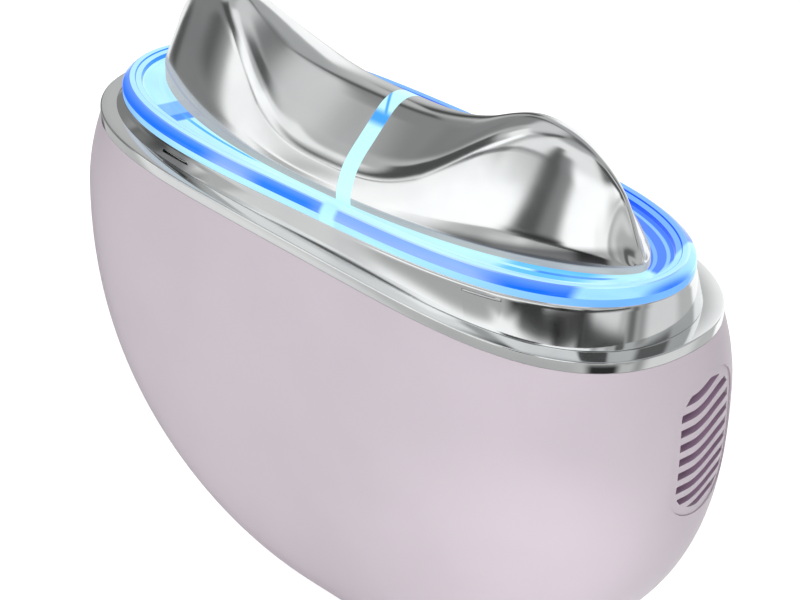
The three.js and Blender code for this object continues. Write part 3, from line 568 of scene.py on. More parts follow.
def chrome(
        name="polished chrome", smoothest=0.045, roughest=0.075, painted_shade=None, painted_shade_colour=(112, 113, 114)):
    """Polished chrome, darkened towards a grey by painted shade where a share is given for it."""
    made, graph, shader, place = material(name)
    haze = graph.smooth(grain(graph, place, 90, 4), 0.4, 0.7)
    colour = graph.mix(haze, srgb(232, 234, 234), srgb(226, 228, 229))
    if painted_shade:
        # Painted shade: the colour turns to a flat grey where the share is given
        colour = graph.mix(painted_shade(graph, place), colour, srgb(*painted_shade_colour))
    rough = graph.add("ShaderNodeMapRange", {0: haze, 3: smoothest, 4: roughest}).outputs[0]
    graph.feed(shader, {"Base Color": colour, "Metallic": 1, "Roughness": rough})
    bump(graph, shader, grain(graph, place, 260, 2), 0.02, 0.00002)
    return made


def collar_painted_shade(graph, place):
    """Where the collar's chrome takes painted shade: the left stretch of its front."""
    x, y, _ = graph.split(place)
    return graph.times(graph.window(x, -0.031, -0.0205, 0.0035), graph.smooth(y, 0.002, -0.004))


def electrode_painted_shade(graph, place):
    """Where the electrodes' chrome takes painted shade: the front of the right lobe's foot, rising towards
    the nose.
    """
    x, y, z = graph.split(place)
    rise = graph.minus(z, graph.times(x, HEAD_TILT))
    foot = (HEAD_PLANE + ELECTRODE_BASE + ELECTRODE_BAND) * MM
    above = graph.smooth(rise, foot, foot + 0.0003)
    slanted = graph.minus(rise, graph.times(x, 0.09))
    below = graph.smooth(slanted, foot - 0.0007, foot - 0.0019)
    along = graph.window(x, 0.019, 0.0405, 0.003)
    share = graph.times(graph.times(above, below), graph.times(along, 0.85))
    return graph.times(share, graph.smooth(y, 0.001, -0.001))


def glow_surface(graph, shader, colour, strength):
    """Lit clear plastic: a deep body colour, its own light and a gloss on top."""
    mirrored = graph.add("ShaderNodeLightPath").outputs["Is Glossy Ray"]
    graph.feed(shader, {
        "Base Color": graph.mix(0.72, colour, (0, 0, 0, 1)),
        "Emission Color": graph.mix(mirrored, colour, srgb(*MIRRORED_LIGHT)),
        "Emission Strength": strength, "Roughness": 0.1, "Specular IOR Level": 0.35})


def wedge_tint(graph, x, y, colour, shade):
    """Two beams across the ring's floor beside the left electrode, one inside the other."""
    slant = graph.plus(graph.times(y, WEDGE_SLANT), x)
    for start, edge, share in WEDGES:
        beam = graph.window(slant, start, WEDGE_END, CRISP_EDGE)
        beam = graph.times(beam, graph.smooth(y, edge, edge - 0.003))
        colour = graph.mix(graph.times(beam, share), colour, srgb(*shade))
    return colour


def lit_ring(name, middle, ends, rear, far=0.042, wedge=None, pale=None, upper=None, streaks=()):
    """Light guide of the ring: a colour for the front's middle, one from far outwards, one for the rear."""
    made, graph, shader, place = material(name)
    x, y, z = graph.split(place)
    outward = graph.smooth(graph.math("ABSOLUTE", x), far / 3, far)
    colour = graph.mix(outward, srgb(*middle), srgb(*ends))
    if pale:
        lighter = graph.plus(*[graph.window(x, low, high, 0.003) for low, high in PALE_STRETCHES])
        colour = graph.mix(graph.times(lighter, 0.8), colour, srgb(*pale))
    if upper:
        rise = graph.plus(z, graph.times(x, -HEAD_TILT))
        low = (HEAD_PLANE + RING_WALL_HEIGHT) * MM
        colour = graph.mix(graph.times(graph.smooth(rise, low, low + 0.0009), 0.6), colour, srgb(*upper))
    if wedge:
        colour = wedge_tint(graph, x, y, colour, wedge)
    for low, high, soft, shade in streaks:
        colour = graph.mix(graph.window(x, low, high, soft), colour, srgb(*shade))
    edge = graph.plus(graph.times(y, REAR_SLANT), x)
    sector = graph.window(edge, *REAR_STRETCH, CRISP_EDGE)
    behind = graph.times(sector, graph.smooth(y, 0.0005, 0.0015))
    colour = graph.mix(behind, colour, srgb(*rear))
    slant = graph.minus(graph.plus(graph.times(y, STRIP_SLANT), x), BEAM_PLACE)
    across = graph.window(slant, -BEAM_HALF_WIDTH, BEAM_HALF_WIDTH, 0.0005)
    beam = graph.times(across, graph.smooth(y, -0.006, -0.01))
    colour = graph.mix(beam, colour, srgb(*BEAM_COLOUR))
    stretch = graph.add("ShaderNodeMapping", {"Vector": place, "Scale": (0.35, 1.2, 3)}).outputs[0]
    cloud = graph.smooth(grain(graph, stretch, 160, 2), 0.3, 0.7)
    dimmer = graph.mix(0.14, colour, srgb(*rear))
    glow_surface(graph, shader, graph.mix(cloud, colour, dimmer), 0.88)
    return made


def lit_strip(name):
    """Light guide of the strip: pale cyan with one soft blue band high on its front slope, a painted dip in
    its reflection where the slope curves.
    """
    made, graph, shader, place = material(name)
    x, y, _ = graph.split(place)
    # Painted reflection: the blue band stands for the break in the strip's reflection on its curving slope
    band = graph.window(y, *STRIP_BAND, 0.0006)
    colour = graph.mix(band, srgb(*STRIP_COLOUR), srgb(*STRIP_BAND_COLOUR))
    slant = graph.plus(graph.times(y, STRIP_SLANT + STRIP_LINE_SLANT), x)
    line = graph.times(graph.window(slant, *STRIP_LINE, 0.0002), graph.smooth(y, -0.0045, -0.0035))
    colour = graph.mix(line, colour, srgb(*STRIP_LINE_COLOUR))
    colour = graph.mix(graph.smooth(y, 0.001, 0.004), colour, srgb(*STRIP_REAR_COLOUR))
    glow_surface(graph, shader, colour, 0.9)
    return made


def plain(name, colour, roughness, metallic=0.0):
    """A moulded or machined finish with a fine grain in its colour, gloss and relief."""
    made, graph, shader, place = material(name)
    fine = grain(graph, place, 900)
    darker = tuple(0.9 * value for value in colour)
    grained = graph.mix(fine, srgb(*colour), srgb(*darker))
    rough = graph.add("ShaderNodeMapRange", {0: fine, 3: roughness - 0.05, 4: roughness + 0.05}).outputs[0]
    graph.feed(shader, {"Base Color": grained, "Roughness": rough, "Metallic": metallic})
    bump(graph, shader, fine, 0.15, 0.00003)
    return made


LAVENDER = satin_lavender()
# Mauve for the vents' slot walls and dust screens: the vents' dark lavender, deepened as painted shade for
# inside the slots
MAUVE = satin_lavender("mauve inner wall", (202, 174, 200), (192, 164, 190))
CHROME = chrome()
# The electrodes' chrome carries painted shade on the front of the right lobe's foot
SOFT_CHROME = chrome("softly polished chrome", 0.1, 0.14, electrode_painted_shade, (84, 84, 86))
# The collar's chrome carries painted shade on the left stretch of its front
COLLAR_CHROME = chrome("collar chrome with painted shade", 0.06, 0.09, collar_painted_shade)
WEDGE_BLUE = (36, 132, 250)
RING_FINISHES = {
    "wall": lit_ring("ring wall blue", (174, 234, 255), (114, 180, 255), (84, 136, 255), far=0.048),
    "bevel": lit_ring(
        "ring deep blue", (8, 122, 255), (0, 108, 255), (52, 112, 255), pale=(160, 192, 255),
        upper=(116, 172, 255), streaks=[(0.041, 0.0468, 0.0008, (164, 226, 255))]),
    "bevel edge": lit_ring(
        "ring violet edge", (150, 194, 255), (100, 142, 255), (110, 146, 255), pale=(196, 226, 255),
        streaks=[(0.041, 0.0462, 0.0012, (196, 246, 255))]),
    "top": lit_ring("ring top cyan", (200, 251, 255), (182, 238, 255), (124, 184, 255)),
    "step": lit_ring("ring step line", (170, 232, 255), (60, 150, 252), (24, 92, 250), far=0.024),
    # The floor's blue streak from 29 to 39.5 mm along X is painted shadow along the right electrode's foot
    "floor": lit_ring(
        "ring floor cyan", (200, 253, 255), (190, 248, 255), (76, 134, 252), wedge=WEDGE_BLUE,
        streaks=[(0.029, 0.0395, 0.0015, (108, 206, 255))]),
    "floor streak": lit_ring(
        "ring floor streak", (198, 252, 255), (190, 248, 255), (126, 184, 255), wedge=WEDGE_BLUE,
        streaks=[(-0.030, -0.014, 0.002, (92, 190, 252)), (0.033, 0.041, 0.0008, (70, 150, 252))]),
    "floor arc": lit_ring(
        "ring floor arc", (200, 253, 255), (184, 244, 255), (140, 200, 255), wedge=WEDGE_BLUE),
}
STRIP = lit_strip("strip pale cyan")
SLOT_MATERIALS = {
    "satin_lavender": LAVENDER,
    "dark_lavender": MAUVE,
    "chrome": CHROME,
    "light_guide": STRIP,
    "black_plastic": plain("black plastic", (46, 44, 50), 0.5),
    "white_plastic": plain("white plastic", (228, 228, 226), 0.5),
    "black_rubber": plain("black rubber", (40, 40, 42), 0.8),
    "board_green": plain("green solder mask", (30, 104, 68), 0.35),
    "steel": plain("plain steel", (165, 167, 170), 0.3, 1.0),
    "battery_foil": plain("battery wrap", (140, 150, 164), 0.35, 0.5),
}


def dress_frame():
    """Gives each CAD node the finish of its slot; the dust screens take the vents' mauve, which partly
    stands as painted shade inside the slots.
    """
    for row in frame["record"]["subparts"]:
        data = nodes[row["node"]].data
        data.materials.clear()
        data.materials.append(SLOT_MATERIALS[row["material_slot"]])
    for side in ("right", "left"):
        nodes[f"vent_mesh_{side}"].data.materials[0] = MAUVE


def seat(piece, slot_name, body, *replaced, finish=None):
    """Puts a finished piece on its body in place of its nodes."""
    if finish:
        piece.data.materials.clear()
        piece.data.materials.append(finish)
    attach(piece, body)
    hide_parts(*replaced)


# Body shell

def body_shell():
    belt = BELT_DEPTH * np.linspace(0, 1, BELT_RINGS, endpoint=False)
    closer_below = 1 - (1 - np.linspace(0, 1, BELLY_RINGS)) ** BELLY_CROWDING
    depths = np.concatenate([belt, BELT_DEPTH + (FOOT_DEPTH - BELT_DEPTH) * closer_below])
    outer = [body_ring(depth) for depth in depths]
    inner = [body_ring(depth, WALL) for depth in depths[::INNER_RING_STEP]]
    inner[0] = inner[0] * (1, 1, 0) + (0, 0, FOOT_DEPTH)
    inner[-1] = inner[-1] * (1, 1, 0) + (0, 0, WALL)
    shell = skin("body_shell_skin", inner[::-1] + outer)
    vent = prism("vent cut", vent_outline(0), CUT_START, CUT_END, "X")
    cutters = [vent, half_turned(vent)]
    button_hole = BUTTON_RADIUS + BUTTON_GAP
    lens_hole = LENS_RADIUS + LENS_GAP
    turn = np.linspace(0, 2 * math.pi, HOLE_FACETS, endpoint=False)
    for x, radius in ((-BUTTON_SPACING / 2, button_hole), (BUTTON_SPACING / 2, button_hole), (0, lens_hole)):
        outline = np.c_[x + radius * np.cos(turn), BUTTON_HEIGHT + radius * np.sin(turn)]
        cutters.append(prism("button cut", outline, RIM_HALF_WIDTH * 0.5, CUT_END, "Y"))
    port = oval(PORT_LENGTH / 2, PORT_WIDTH / 2, PORT_LENGTH_POWER, PORT_WIDTH_POWER, 16)
    cutters.append(prism("port cut", port, -1, WALL * 2, "Z"))
    carve(shell, *cutters)
    soften(shell, SHELL_EDGE, segments=3)
    seat(shell, "satin_lavender", "housing", "body_shell", finish=LAVENDER)


# Rim with its flat ledge

def bezel():
    mouth = FOOT_DEPTH
    corners = [
        (rim_ring(0, RIM_PLANE), BAND_EDGE),
        (rim_ring(0, mouth), 0.1),
        (rim_ring(BAND_SEAT, mouth), 0),
        (collar_ring(LEDGE_UNDER_COLLAR, mouth), 0),
        (collar_ring(LEDGE_UNDER_COLLAR, RIM_PLANE), 0.1),
    ]
    rings, _ = rounded(*zip(*corners), steps=5)
    seat(skin("bezel_band", rings, hoop=True), "chrome", "housing", "bezel", finish=CHROME)


# Collar under the light ring

def ring_half_width(x):
    return RING_HALF_WIDTH * (1 - (abs(x) / RING_HALF_LENGTH) ** RING_LENGTH_POWER) ** (1 / RING_WIDTH_POWER)


def snap_box(name, side, middle, half_length, heights, out, back):
    """A box that follows the collar's wall under the ring, between two heights and two depths."""
    low, high = heights
    rings = []
    for x in np.linspace(middle - half_length, middle + half_length, 9):
        front = -(ring_half_width(x) + out)
        rear = -(ring_half_width(x) - back)
        rings.append(np.array([(x, front, low), (x, rear, low), (x, rear, high), (x, front, high)]))
    return skin(name, [from_head(ring * (side, side, 1)) for ring in rings])


def snap_lip_and_hook(side, place):
    """The thin lip that shows in a snap window, and the hook at its end."""
    hook_place = place + SNAP_HALF_LENGTH - HOOK_FROM_END
    return [
        snap_box("snap lip", side, place, SNAP_HALF_LENGTH - LIP_END_GAP, LIP_HEIGHTS, LIP_PROUD, SNAP_ROOT),
        snap_box("snap hook", side, hook_place, HOOK_HALF_LENGTH, HOOK_HEIGHTS, HOOK_PROUD, SNAP_ROOT),
    ]


def head_collar():
    foot = RIM_PLANE + COLLAR_FOOT_GAP
    corners = [
        (from_head(light_ring_outline(HAIRLINE, -HAIRLINE)), COLLAR_EDGE),
        (from_head(light_ring_outline(HAIRLINE, -COLLAR_LIP)), COLLAR_SHOULDER),
        (collar_ring(0, foot), COLLAR_EDGE),
        (collar_ring(COLLAR_FOOT_WALL, foot), 0),
        (from_head(light_ring_outline(COLLAR_TOP_WALL, -COLLAR_INNER_DROP)), 0),
        (from_head(light_ring_outline(COLLAR_TOP_WALL, -HAIRLINE)), 0),
    ]
    rings, _ = rounded(*zip(*corners), steps=5)
    collar = skin("head_collar_wall", rings, hoop=True)
    spots = [(side, place) for side in (1, -1) for place in SNAP_PLACES]
    cut = (SNAP_HALF_LENGTH, (SNAP_BOTTOM, SNAP_TOP), SNAP_CUT_OUT, SNAP_CUT_DEPTH)
    carve(collar, *[snap_box("snap cut", side, place, *cut) for side, place in spots])
    soften(collar, COLLAR_BREAK)
    collar.data.materials.clear()
    collar.data.materials.append(COLLAR_CHROME)
    collar.data.materials.append(CHROME)
    for side, place in spots:
        for part in snap_lip_and_hook(side, place):
            soften(part, SNAP_EDGE)
            for face in part.data.polygons:
                face.material_index = 1
            fold_in(collar, part)
    seat(collar, "chrome", "housing", "head_collar")


# Light ring

def between(first, second, share):
    """The ring that lies at a share of the way from one ring to another."""
    return (1 - share) * first + share * second


def light_ring():
    """Its section by corners: each one's ring, its rounding, and the finish from there to the next."""
    outer = light_ring_outline(RING_FLOOR_INSET, RING_FLOOR)
    inner = electrode_outline(RING_UNDER_ELECTRODES, RING_FLOOR)
    corners = [
        (light_ring_outline(0, 0), 0.1, "wall"),
        (light_ring_outline(0, RING_WALL_HEIGHT), 0.3, "bevel"),
        (light_ring_outline(0.85, RING_HEIGHT - 0.1), 0.06, "bevel edge"),
        (light_ring_outline(1.1, RING_HEIGHT), 0.12, "top"),
        (light_ring_outline(1.75, RING_HEIGHT - 0.05), 0.05, "step"),
        (light_ring_outline(1.88, RING_HEIGHT - 0.22), 0.04, "top"),
        (light_ring_outline(2.6, RING_HEIGHT - 0.32), 0.05, "step"),
        (light_ring_outline(RING_FLOOR_INSET, RING_FLOOR + 0.1), 0.1, "floor"),
        (between(outer, inner, 0.1), 0, "floor arc"),
        (between(outer, inner, 0.2), 0, "floor"),
        (between(outer, inner, 0.46), 0, "floor streak"),
        (between(outer, inner, 0.58), 0, "floor"),
        (inner, 0, "floor"),
        (electrode_outline(RING_UNDER_ELECTRODES, 0), 0, "floor"),
    ]
    sections, radii, finishes = zip(*corners)
    rings, tags = rounded([from_head(ring) for ring in sections], radii)
    ring = skin("light_ring_glow", rings, hoop=True)
    for finish in RING_FINISHES.values():
        ring.data.materials.append(finish)
    order = list(RING_FINISHES)
    count = len(rings[0])
    for face in ring.data.polygons:
        span = min(face.index // count, len(tags) - 1)
        face.material_index = order.index(finishes[tags[span]])
    seat(ring, "light_guide", "housing", "light_ring")


# Electrodes

def lobe_share(x):
    """None at the saddle's middle, rising to one at the lobes."""
    return 0.5 - 0.5 * np.cos(np.pi * np.minimum(np.abs(x) / LOBE_PLACE, 1) ** LOBE_POWER)


def ridge_height(x):
    past = np.clip((np.abs(x) - LOBE_PLACE) / NOSE_REACH, 0, 1)
    return (SADDLE_HEIGHT + LOBE_RISE * lobe_share(x)) * np.sqrt(1 - past ** 2)


def crease_height(x):
    past = np.clip((np.abs(x) - LOBE_PLACE) / (ELECTRODE_HALF_LENGTH - LOBE_PLACE), 0, 1)
    return (SADDLE_CREASE + CREASE_RISE * lobe_share(x)) * (1 - past ** 2) ** (1 / CREASE_END_POWER)


def base_half_width(x):
    share = np.minimum(np.abs(x) / ELECTRODE_HALF_LENGTH, 1) ** ELECTRODE_LENGTH_POWER
    return ELECTRODE_HALF_WIDTH * (1 - share) ** (1 / ELECTRODE_WIDTH_POWER)


def electrode_rails(x, drop, slope):
    """Rails along the electrodes from the foot over the crease to the ridge, as (y, z) pairs."""
    foot = base_half_width(x)
    end_band = np.where(x < 0, ELECTRODE_END_BAND, ELECTRODE_END_BAND * RIGHT_END_SHARE)
    band_top = ELECTRODE_BASE + ELECTRODE_BAND + end_band * (x / ELECTRODE_HALF_LENGTH) ** 2
    past = np.clip((np.abs(x) - ELECTRODE_HALF_LENGTH + TIP_ROUND) / TIP_ROUND, 0, 1)
    nose = np.sqrt(1 - past ** 2)
    ridge = band_top + nose * np.maximum(ridge_height(x) + RIDGE_LIFT - band_top, LEAST_RIDGE)
    rise = np.maximum(crease_height(x) - band_top, LEAST_CREASE)
    crease = band_top + nose * (rise - drop * np.minimum(rise / DROP_FADE_HEIGHT, 1))
    leaning = foot - (crease - ELECTRODE_BASE) * slope
    least = foot * NOSE_WIDTH_SHARE
    crease_out = (leaning + least + np.hypot(leaning - least, foot * NOSE_BLEND_SHARE)) / 2
    low = np.full_like(x, float(ELECTRODE_BASE))
    belly_out = foot + (crease_out - foot) * BELLY_PLACE + FLANK_BELLY * (crease - band_top)
    belly = band_top + (crease - band_top) * BELLY_PLACE
    middle = np.zeros_like(x)
    return [(foot, low), (foot, band_top), (belly_out, belly), (crease_out, crease), (middle, ridge)]


def electrode_form(name):
    """The whole electrode form, lofted through stations along the head."""
    reach = ELECTRODE_HALF_LENGTH - TIP_CUT
    turns = np.linspace(-math.pi / 2, math.pi / 2, ELECTRODE_STATIONS)
    stations = reach * np.sin(turns)
    front = [np.c_[stations, -y, z] for y, z in electrode_rails(stations, 0, FLANK_SLOPE)]
    far_side = electrode_rails(stations, BACK_CREASE_DROP, BACK_FLANK_SLOPE)
    back = [np.c_[stations, y, z] for y, z in far_side]
    foot, band, belly, front_crease, ridge, back_crease = 0, 0.2, 9, 2.6, 4.5, 3
    radii = [foot, band, belly, front_crease, ridge, back_crease, belly, band, foot]
    lines, _ = rounded(front + back[-2::-1], radii, ELECTRODE_ROUND_STEPS, hoop=False)
    sections = np.array(lines).transpose(1, 0, 2)
    rings = [from_head(section) for section in sections]
    return skin(name, rings, sharp=ELECTRODE_SHARP)


def strip_slab(name, low, high):
    """A slab across the head along the strip's slanted plane, as a cutter."""
    far = SLAB_REACH
    outline = np.array([(low, -far), (high, -far), (high, far), (low, far)], float)
    turn = math.atan(STRIP_SLANT)
    spin = np.array([[math.cos(turn), math.sin(turn)], [-math.sin(turn), math.cos(turn)]])
    outline = outline @ spin + (STRIP_PLACE, 0)
    rings = [from_head(level(outline, z)) for z in SLAB_HEIGHTS]
    return skin(name, rings)


def electrodes():
    edge = STRIP_WIDTH / 2 + STRIP_GAP
    for name, low, high in (("left", -edge, SLAB_REACH), ("right", -SLAB_REACH, edge)):
        half = electrode_form(f"electrode_{name}_form")
        carve(half, strip_slab("strip cut", low, high), sharp=ELECTRODE_SHARP)
        seat(half, "chrome", "housing", f"electrode_{name}", finish=SOFT_CHROME)
    strip = electrode_form("light_strip_fin")
    kept = strip_slab("strip keep", -STRIP_WIDTH / 2, STRIP_WIDTH / 2)
    carve(strip, kept, operation="INTERSECT", sharp=ELECTRODE_SHARP)
    seat(strip, "light_guide", "housing", "light_strip", finish=STRIP)


# Vent panels: a curved panel with wave-shaped slots

def wave_slot_tree():
    """Slots as bars along a wave, one above the other."""
    tree = bpy.data.node_groups.new("wave slots", "GeometryNodeTree")
    tree.interface.new_socket("Geometry", in_out="OUTPUT", socket_type="NodeSocketGeometry")
    sizes = {
        "Count": ("Int", SLOT_COUNT),
        "Pitch": ("Float", SLOT_PITCH * MM),
        "Reach": ("Float", 0.0),
        "Height": ("Float", SLOT_HEIGHT * MM),
        "Wave": ("Float", SLOT_WAVE * MM),
        "Depth": ("Float", SLOT_CUT_DEPTH * MM),
    }
    for label, (kind, value) in sizes.items():
        socket = tree.interface.new_socket(label, in_out="INPUT", socket_type=f"NodeSocket{kind}")
        socket.default_value = value
    graph = Graph(tree)
    given = graph.add("NodeGroupInput").outputs

    def vector(axis, value):
        return graph.add("ShaderNodeCombineXYZ", {axis: value}).outputs[0]

    start = vector(1, graph.times(given["Reach"], -1.0))
    end = vector(1, given["Reach"])
    line = graph.add("GeometryNodeCurvePrimitiveLine", {"Start": start, "End": end}).outputs[0]
    path = graph.add("GeometryNodeResampleCurve", {"Curve": line, "Count": 40}).outputs[0]
    along = graph.split(graph.add("GeometryNodeInputPosition").outputs[0])[1]
    share = graph.math("DIVIDE", along, given["Reach"])
    swing = graph.minus(graph.smooth(share, SWING_START, SWING_END), 0.5)
    lift = vector(2, graph.times(swing, given["Wave"]))
    waved = graph.add("GeometryNodeSetPosition", {"Geometry": path, "Offset": lift}).outputs[0]
    upright = graph.add("GeometryNodeSetCurveNormal", {"Curve": waved}, mode="Z_UP").outputs[0]
    profile = graph.add("GeometryNodeCurvePrimitiveQuadrilateral", {
        "Width": given["Depth"], "Height": given["Height"]}).outputs[0]
    bar = graph.add("GeometryNodeCurveToMesh", {
        "Curve": upright, "Profile Curve": profile, "Fill Caps": True}).outputs[0]
    lowest = graph.times(graph.times(graph.minus(given["Count"], 1.0), given["Pitch"]), -0.5)
    rows = graph.add("GeometryNodeMeshLine", {
        "Count": given["Count"],
        "Start Location": vector(2, lowest),
        "Offset": vector(2, given["Pitch"])}).outputs[0]
    bars = graph.add("GeometryNodeInstanceOnPoints", {"Points": rows, "Instance": bar}).outputs[0]
    real = graph.add("GeometryNodeRealizeInstances", {0: bars}).outputs[0]
    # The slot walls take the mauve, which is partly painted shade
    done = graph.add("GeometryNodeSetMaterial", {"Geometry": real, "Material": MAUVE}).outputs[0]
    graph.add("NodeGroupOutput", {0: done})
    return tree


def wave_slots():
    """The slots of the right vent as one cutter."""
    holder = add_object("wave slots", bpy.data.meshes.new("wave slots"))
    step = holder.modifiers.new("slots", "NODES")
    step.node_group = wave_slot_tree()
    socket = next(item for item in step.node_group.interface.items_tree if item.name == "Reach")
    step[socket.identifier] = SLOT_HALF_LENGTH * MM
    apply_modifiers(holder)
    place = Vector((SLOT_PLACE, VENT_PLACE, VENT_HEIGHT)) * MM
    holder.data.transform(Matrix.Translation(place))
    point_out(holder.data)
    return holder


def panel_blank():
    """A curved slab that follows the body's end, larger than the vent."""
    half_width = VENT_HALF_WIDTH + VENT_MARGIN
    half_height = VENT_HALF_HEIGHT + VENT_MARGIN
    columns = np.linspace(VENT_PLACE - half_width, VENT_PLACE + half_width, PANEL_COLUMNS)
    rings = []
    for z in np.linspace(VENT_HEIGHT - half_height, VENT_HEIGHT + half_height, PANEL_ROWS):
        front = [(body_end(y, z, VENT_RECESS), y, z) for y in columns]
        back = [(body_end(y, z, VENT_RECESS + VENT_THICKNESS), y, z) for y in columns[::-1]]
        rings.append(np.array(front + back))
    return skin("vent_panel_right_grille", rings)


def vent_panels():
    """The right grille, and the same turned half round for the left."""
    panel = panel_blank()
    outline = prism("vent outline", vent_outline(-VENT_GROOVE), CUT_START, CUT_END, "X")
    carve(panel, outline, operation="INTERSECT")
    slots = wave_slots()
    field = prism("slot field", vent_outline(-VENT_BORDER), CUT_START, CUT_END, "X")
    carve(slots, field, operation="INTERSECT")
    panel.data.materials.clear()
    panel.data.materials.append(LAVENDER)
    carve(panel, slots, materials="TRANSFER")
    soften(panel, VENT_EDGE)
    twin = half_turned(panel)
    twin.name = "vent_panel_left_grille"
    seat(panel, "dark_lavender", "housing", "vent_panel_right")
    seat(twin, "dark_lavender", "housing", "vent_panel_left")


# Buttons and indicator on the rear face

def turned_cap(name, x, stem, radius, steps):
    """A round piece along Y: a stem of (radius, y) pairs, then a cap dished into the body's surface."""
    turn = np.linspace(0, 2 * math.pi, CAP_FACETS, endpoint=False)
    rings = []
    for ring_radius, y in stem:
        around = x + ring_radius * np.cos(turn)
        rings.append(np.c_[around, np.full_like(around, y), BUTTON_HEIGHT + ring_radius * np.sin(turn)])
    for share in np.linspace(1, 0.01, steps):
        around = x + radius * share * np.cos(turn)
        upward = BUTTON_HEIGHT + radius * share * np.sin(turn)
        surface = np.array([body_side(a, b, CAP_RECESS) for a, b in zip(around, upward)])
        rings.append(np.c_[around, surface - CAP_DISH * (1 - share ** 2), upward])
    return skin(name, rings)


def rear_controls():
    """Two buttons with a stem and a flange each, and the indicator's light pipe between them."""
    inner = RIM_HALF_WIDTH + BELT_OVERHANG_WIDTH - WALL
    flange_front = inner - FLANGE_GAP
    flange_back = flange_front - FLANGE_THICKNESS
    stem_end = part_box("power_button")[0].y / MM
    stem = [
        (0.05, stem_end),
        (STEM_RADIUS, stem_end),
        (STEM_RADIUS, flange_back),
        (FLANGE_RADIUS, flange_back),
        (FLANGE_RADIUS, flange_front),
        (BUTTON_RADIUS, flange_front),
    ]
    for name, x in (("power", -BUTTON_SPACING / 2), ("mode", BUTTON_SPACING / 2)):
        cap = turned_cap(f"{name}_button_cap", x, stem, BUTTON_RADIUS, 14)
        soften(cap, BUTTON_EDGE, segments=3)
        seat(cap, "dark_lavender", f"{name}_key", f"{name}_button", finish=LAVENDER)
    pipe_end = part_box("indicator_lens")[0].y / MM
    lens = turned_cap("indicator_lens_pipe", 0, [(0.02, pipe_end), (LENS_RADIUS, pipe_end)], LENS_RADIUS, 5)
    seat(lens, "light_guide", "housing", "indicator_lens", finish=STRIP)


# Studio

class Card(NamedTuple):
    """A soft card round the studio, as the chrome sees it: azimuths from +X by way of +Y, and elevations.

    Angles are in degrees. A brightness is a linear grey. A slant is the rise for each degree round.
    """
    start: float
    end: float
    low: float
    high: float
    soft: float
    brightness: float
    soft_up: float | None = None
    slant: float = 0


# A later card covers an earlier one
CARDS = [
    # Ceiling and left end
    Card(0, 360, 76, 100, 7, 0.16),
    Card(176, 232, -70, -38, 8, 0.7),
    Card(160, 218, 46, 76, 8, 0.72),
    Card(148, 181, 0, 47, 6, 0.27),
    Card(160, 209, -20, 20, 4, 0.24),
    Card(169, 181, -17, -8, 3, 0.1),
    Card(196, 204, -2, 9, 3, 0.12),
    # Rear, for the ledge
    Card(88, 130, -60, 38, 5, 1.15),
    Card(137, 144, -28, 20, 3, 0.07),
    Card(149, 155, 20, 74, 3, 0.09),
    # Left front, for the left lobe and its crease
    Card(190, 217, 18, 31.5, 2.5, 0.08),
    Card(200, 229, 36, 51, 2.5, 1),
    Card(220.5, 231, 20.5, 44, 2, 1.25),
    Card(225, 240, 55, 73, 3, 0.08),
    # High cards round the front and the right end, for the ridges
    Card(240, 304, 26, 62, 4, 0.95),
    Card(332, 362, 26, 62, 5, 0.62),
    Card(301, 332, 19, 60, 2, 0.09),
    Card(5, 45, 26, 62, 5, 0.14),
    # Front, for the flanks, the right lobe and the rim's band
    Card(211, 236, -13, 19, 2, 1.15),
    Card(234, 260, -7, 19, 2, 1.25),
    Card(274, 308, -4, 31, 5, 1.25),
    Card(298, 314, 4, 17, 2, 1.1),
    Card(222, 226, 3, 15, 2, 0.5),
    Card(223.5, 236, 18, 23.5, 1.2, 0.1),
    Card(236, 246, 19, 26, 1.5, 0.2),
    Card(246, 260, 23.5, 28, 1.5, 0.35),
    Card(264, 277, -4, 40, 3.5, 0.25),
    Card(260, 268, 4, 48, 2, 0.09),
    Card(259, 279, -5, 4, 2.5, 0.03),
    Card(205, 224, -34, -19, 4, 0.85),
    Card(232, 302, -60, -26, 6, 0.5),
    # Right end, for the nose, the collar and the rim
    Card(308, 338, -14, -3, 3, 0.8),
    Card(346, 357, -24, -10, 5, 0.17),
    Card(314, 338, 0, 14, 3, 0.5),
    Card(319, 326, 6, 15, 2.5, 0.75),
    Card(336, 345, 3, 20, 2, 0.14),
    Card(313, 342, -60, -25, 5, 0.03),
    Card(358, 370, -40, 24, 5, 0.36),
    Card(10, 56, -45, -8, 8, 0.78),
    # Left end again, for the rim
    Card(153, 167, -60, -26, 3, 0.05),
    Card(146, 165, -24, -13, 2.5, 1),
    # Flat slanted cards, for the bands along the collar
    Card(225, 266, -15.5, -12, 3, 1.2, soft_up=1, slant=0.38),
    Card(226, 262, -12, -6.5, 3, 0.45, soft_up=1, slant=0.34),
    Card(218.5, 227, -17, -3, 2, 0.5),
    Card(221, 229, -24, -11, 2, 0.75, soft_up=1.5),
    Card(268, 290, -11, -1.4, 10, 0.05, soft_up=1),
    Card(280, 310, -11, -1.4, 6, 0.05, soft_up=1),
    Card(284, 291, -11, -1.6, 4, 0.006, soft_up=1),
    Card(256, 285, -10.5, -6.2, 3, 1.1, soft_up=0.8),
    Card(282, 301, -10.5, -7.4, 3, 0.75, soft_up=0.8),
    Card(306, 345, -16, -11.2, 2, 0.06, soft_up=1.2, slant=-0.333),
]


def card_share(graph, around, height, card):
    """How much of a card is seen in a direction."""
    middle = math.radians((card.start + card.end) / 2)
    half = math.radians((card.end - card.start) / 2)
    soft = math.radians(card.soft)
    soft_up = card.soft if card.soft_up is None else card.soft_up
    beside = graph.minus(around, middle)
    away = graph.add("ShaderNodeMath", {0: beside, 1: math.pi, 2: -math.pi}, operation="WRAP").outputs[0]
    across = graph.smooth(graph.math("ABSOLUTE", away), half + soft, half - soft)
    rise = graph.minus(height, graph.times(away, card.slant))
    upright = graph.window(rise, math.radians(card.low), math.radians(card.high), math.radians(soft_up))
    if card.end - card.start >= 360:
        return upright
    return graph.times(across, upright)


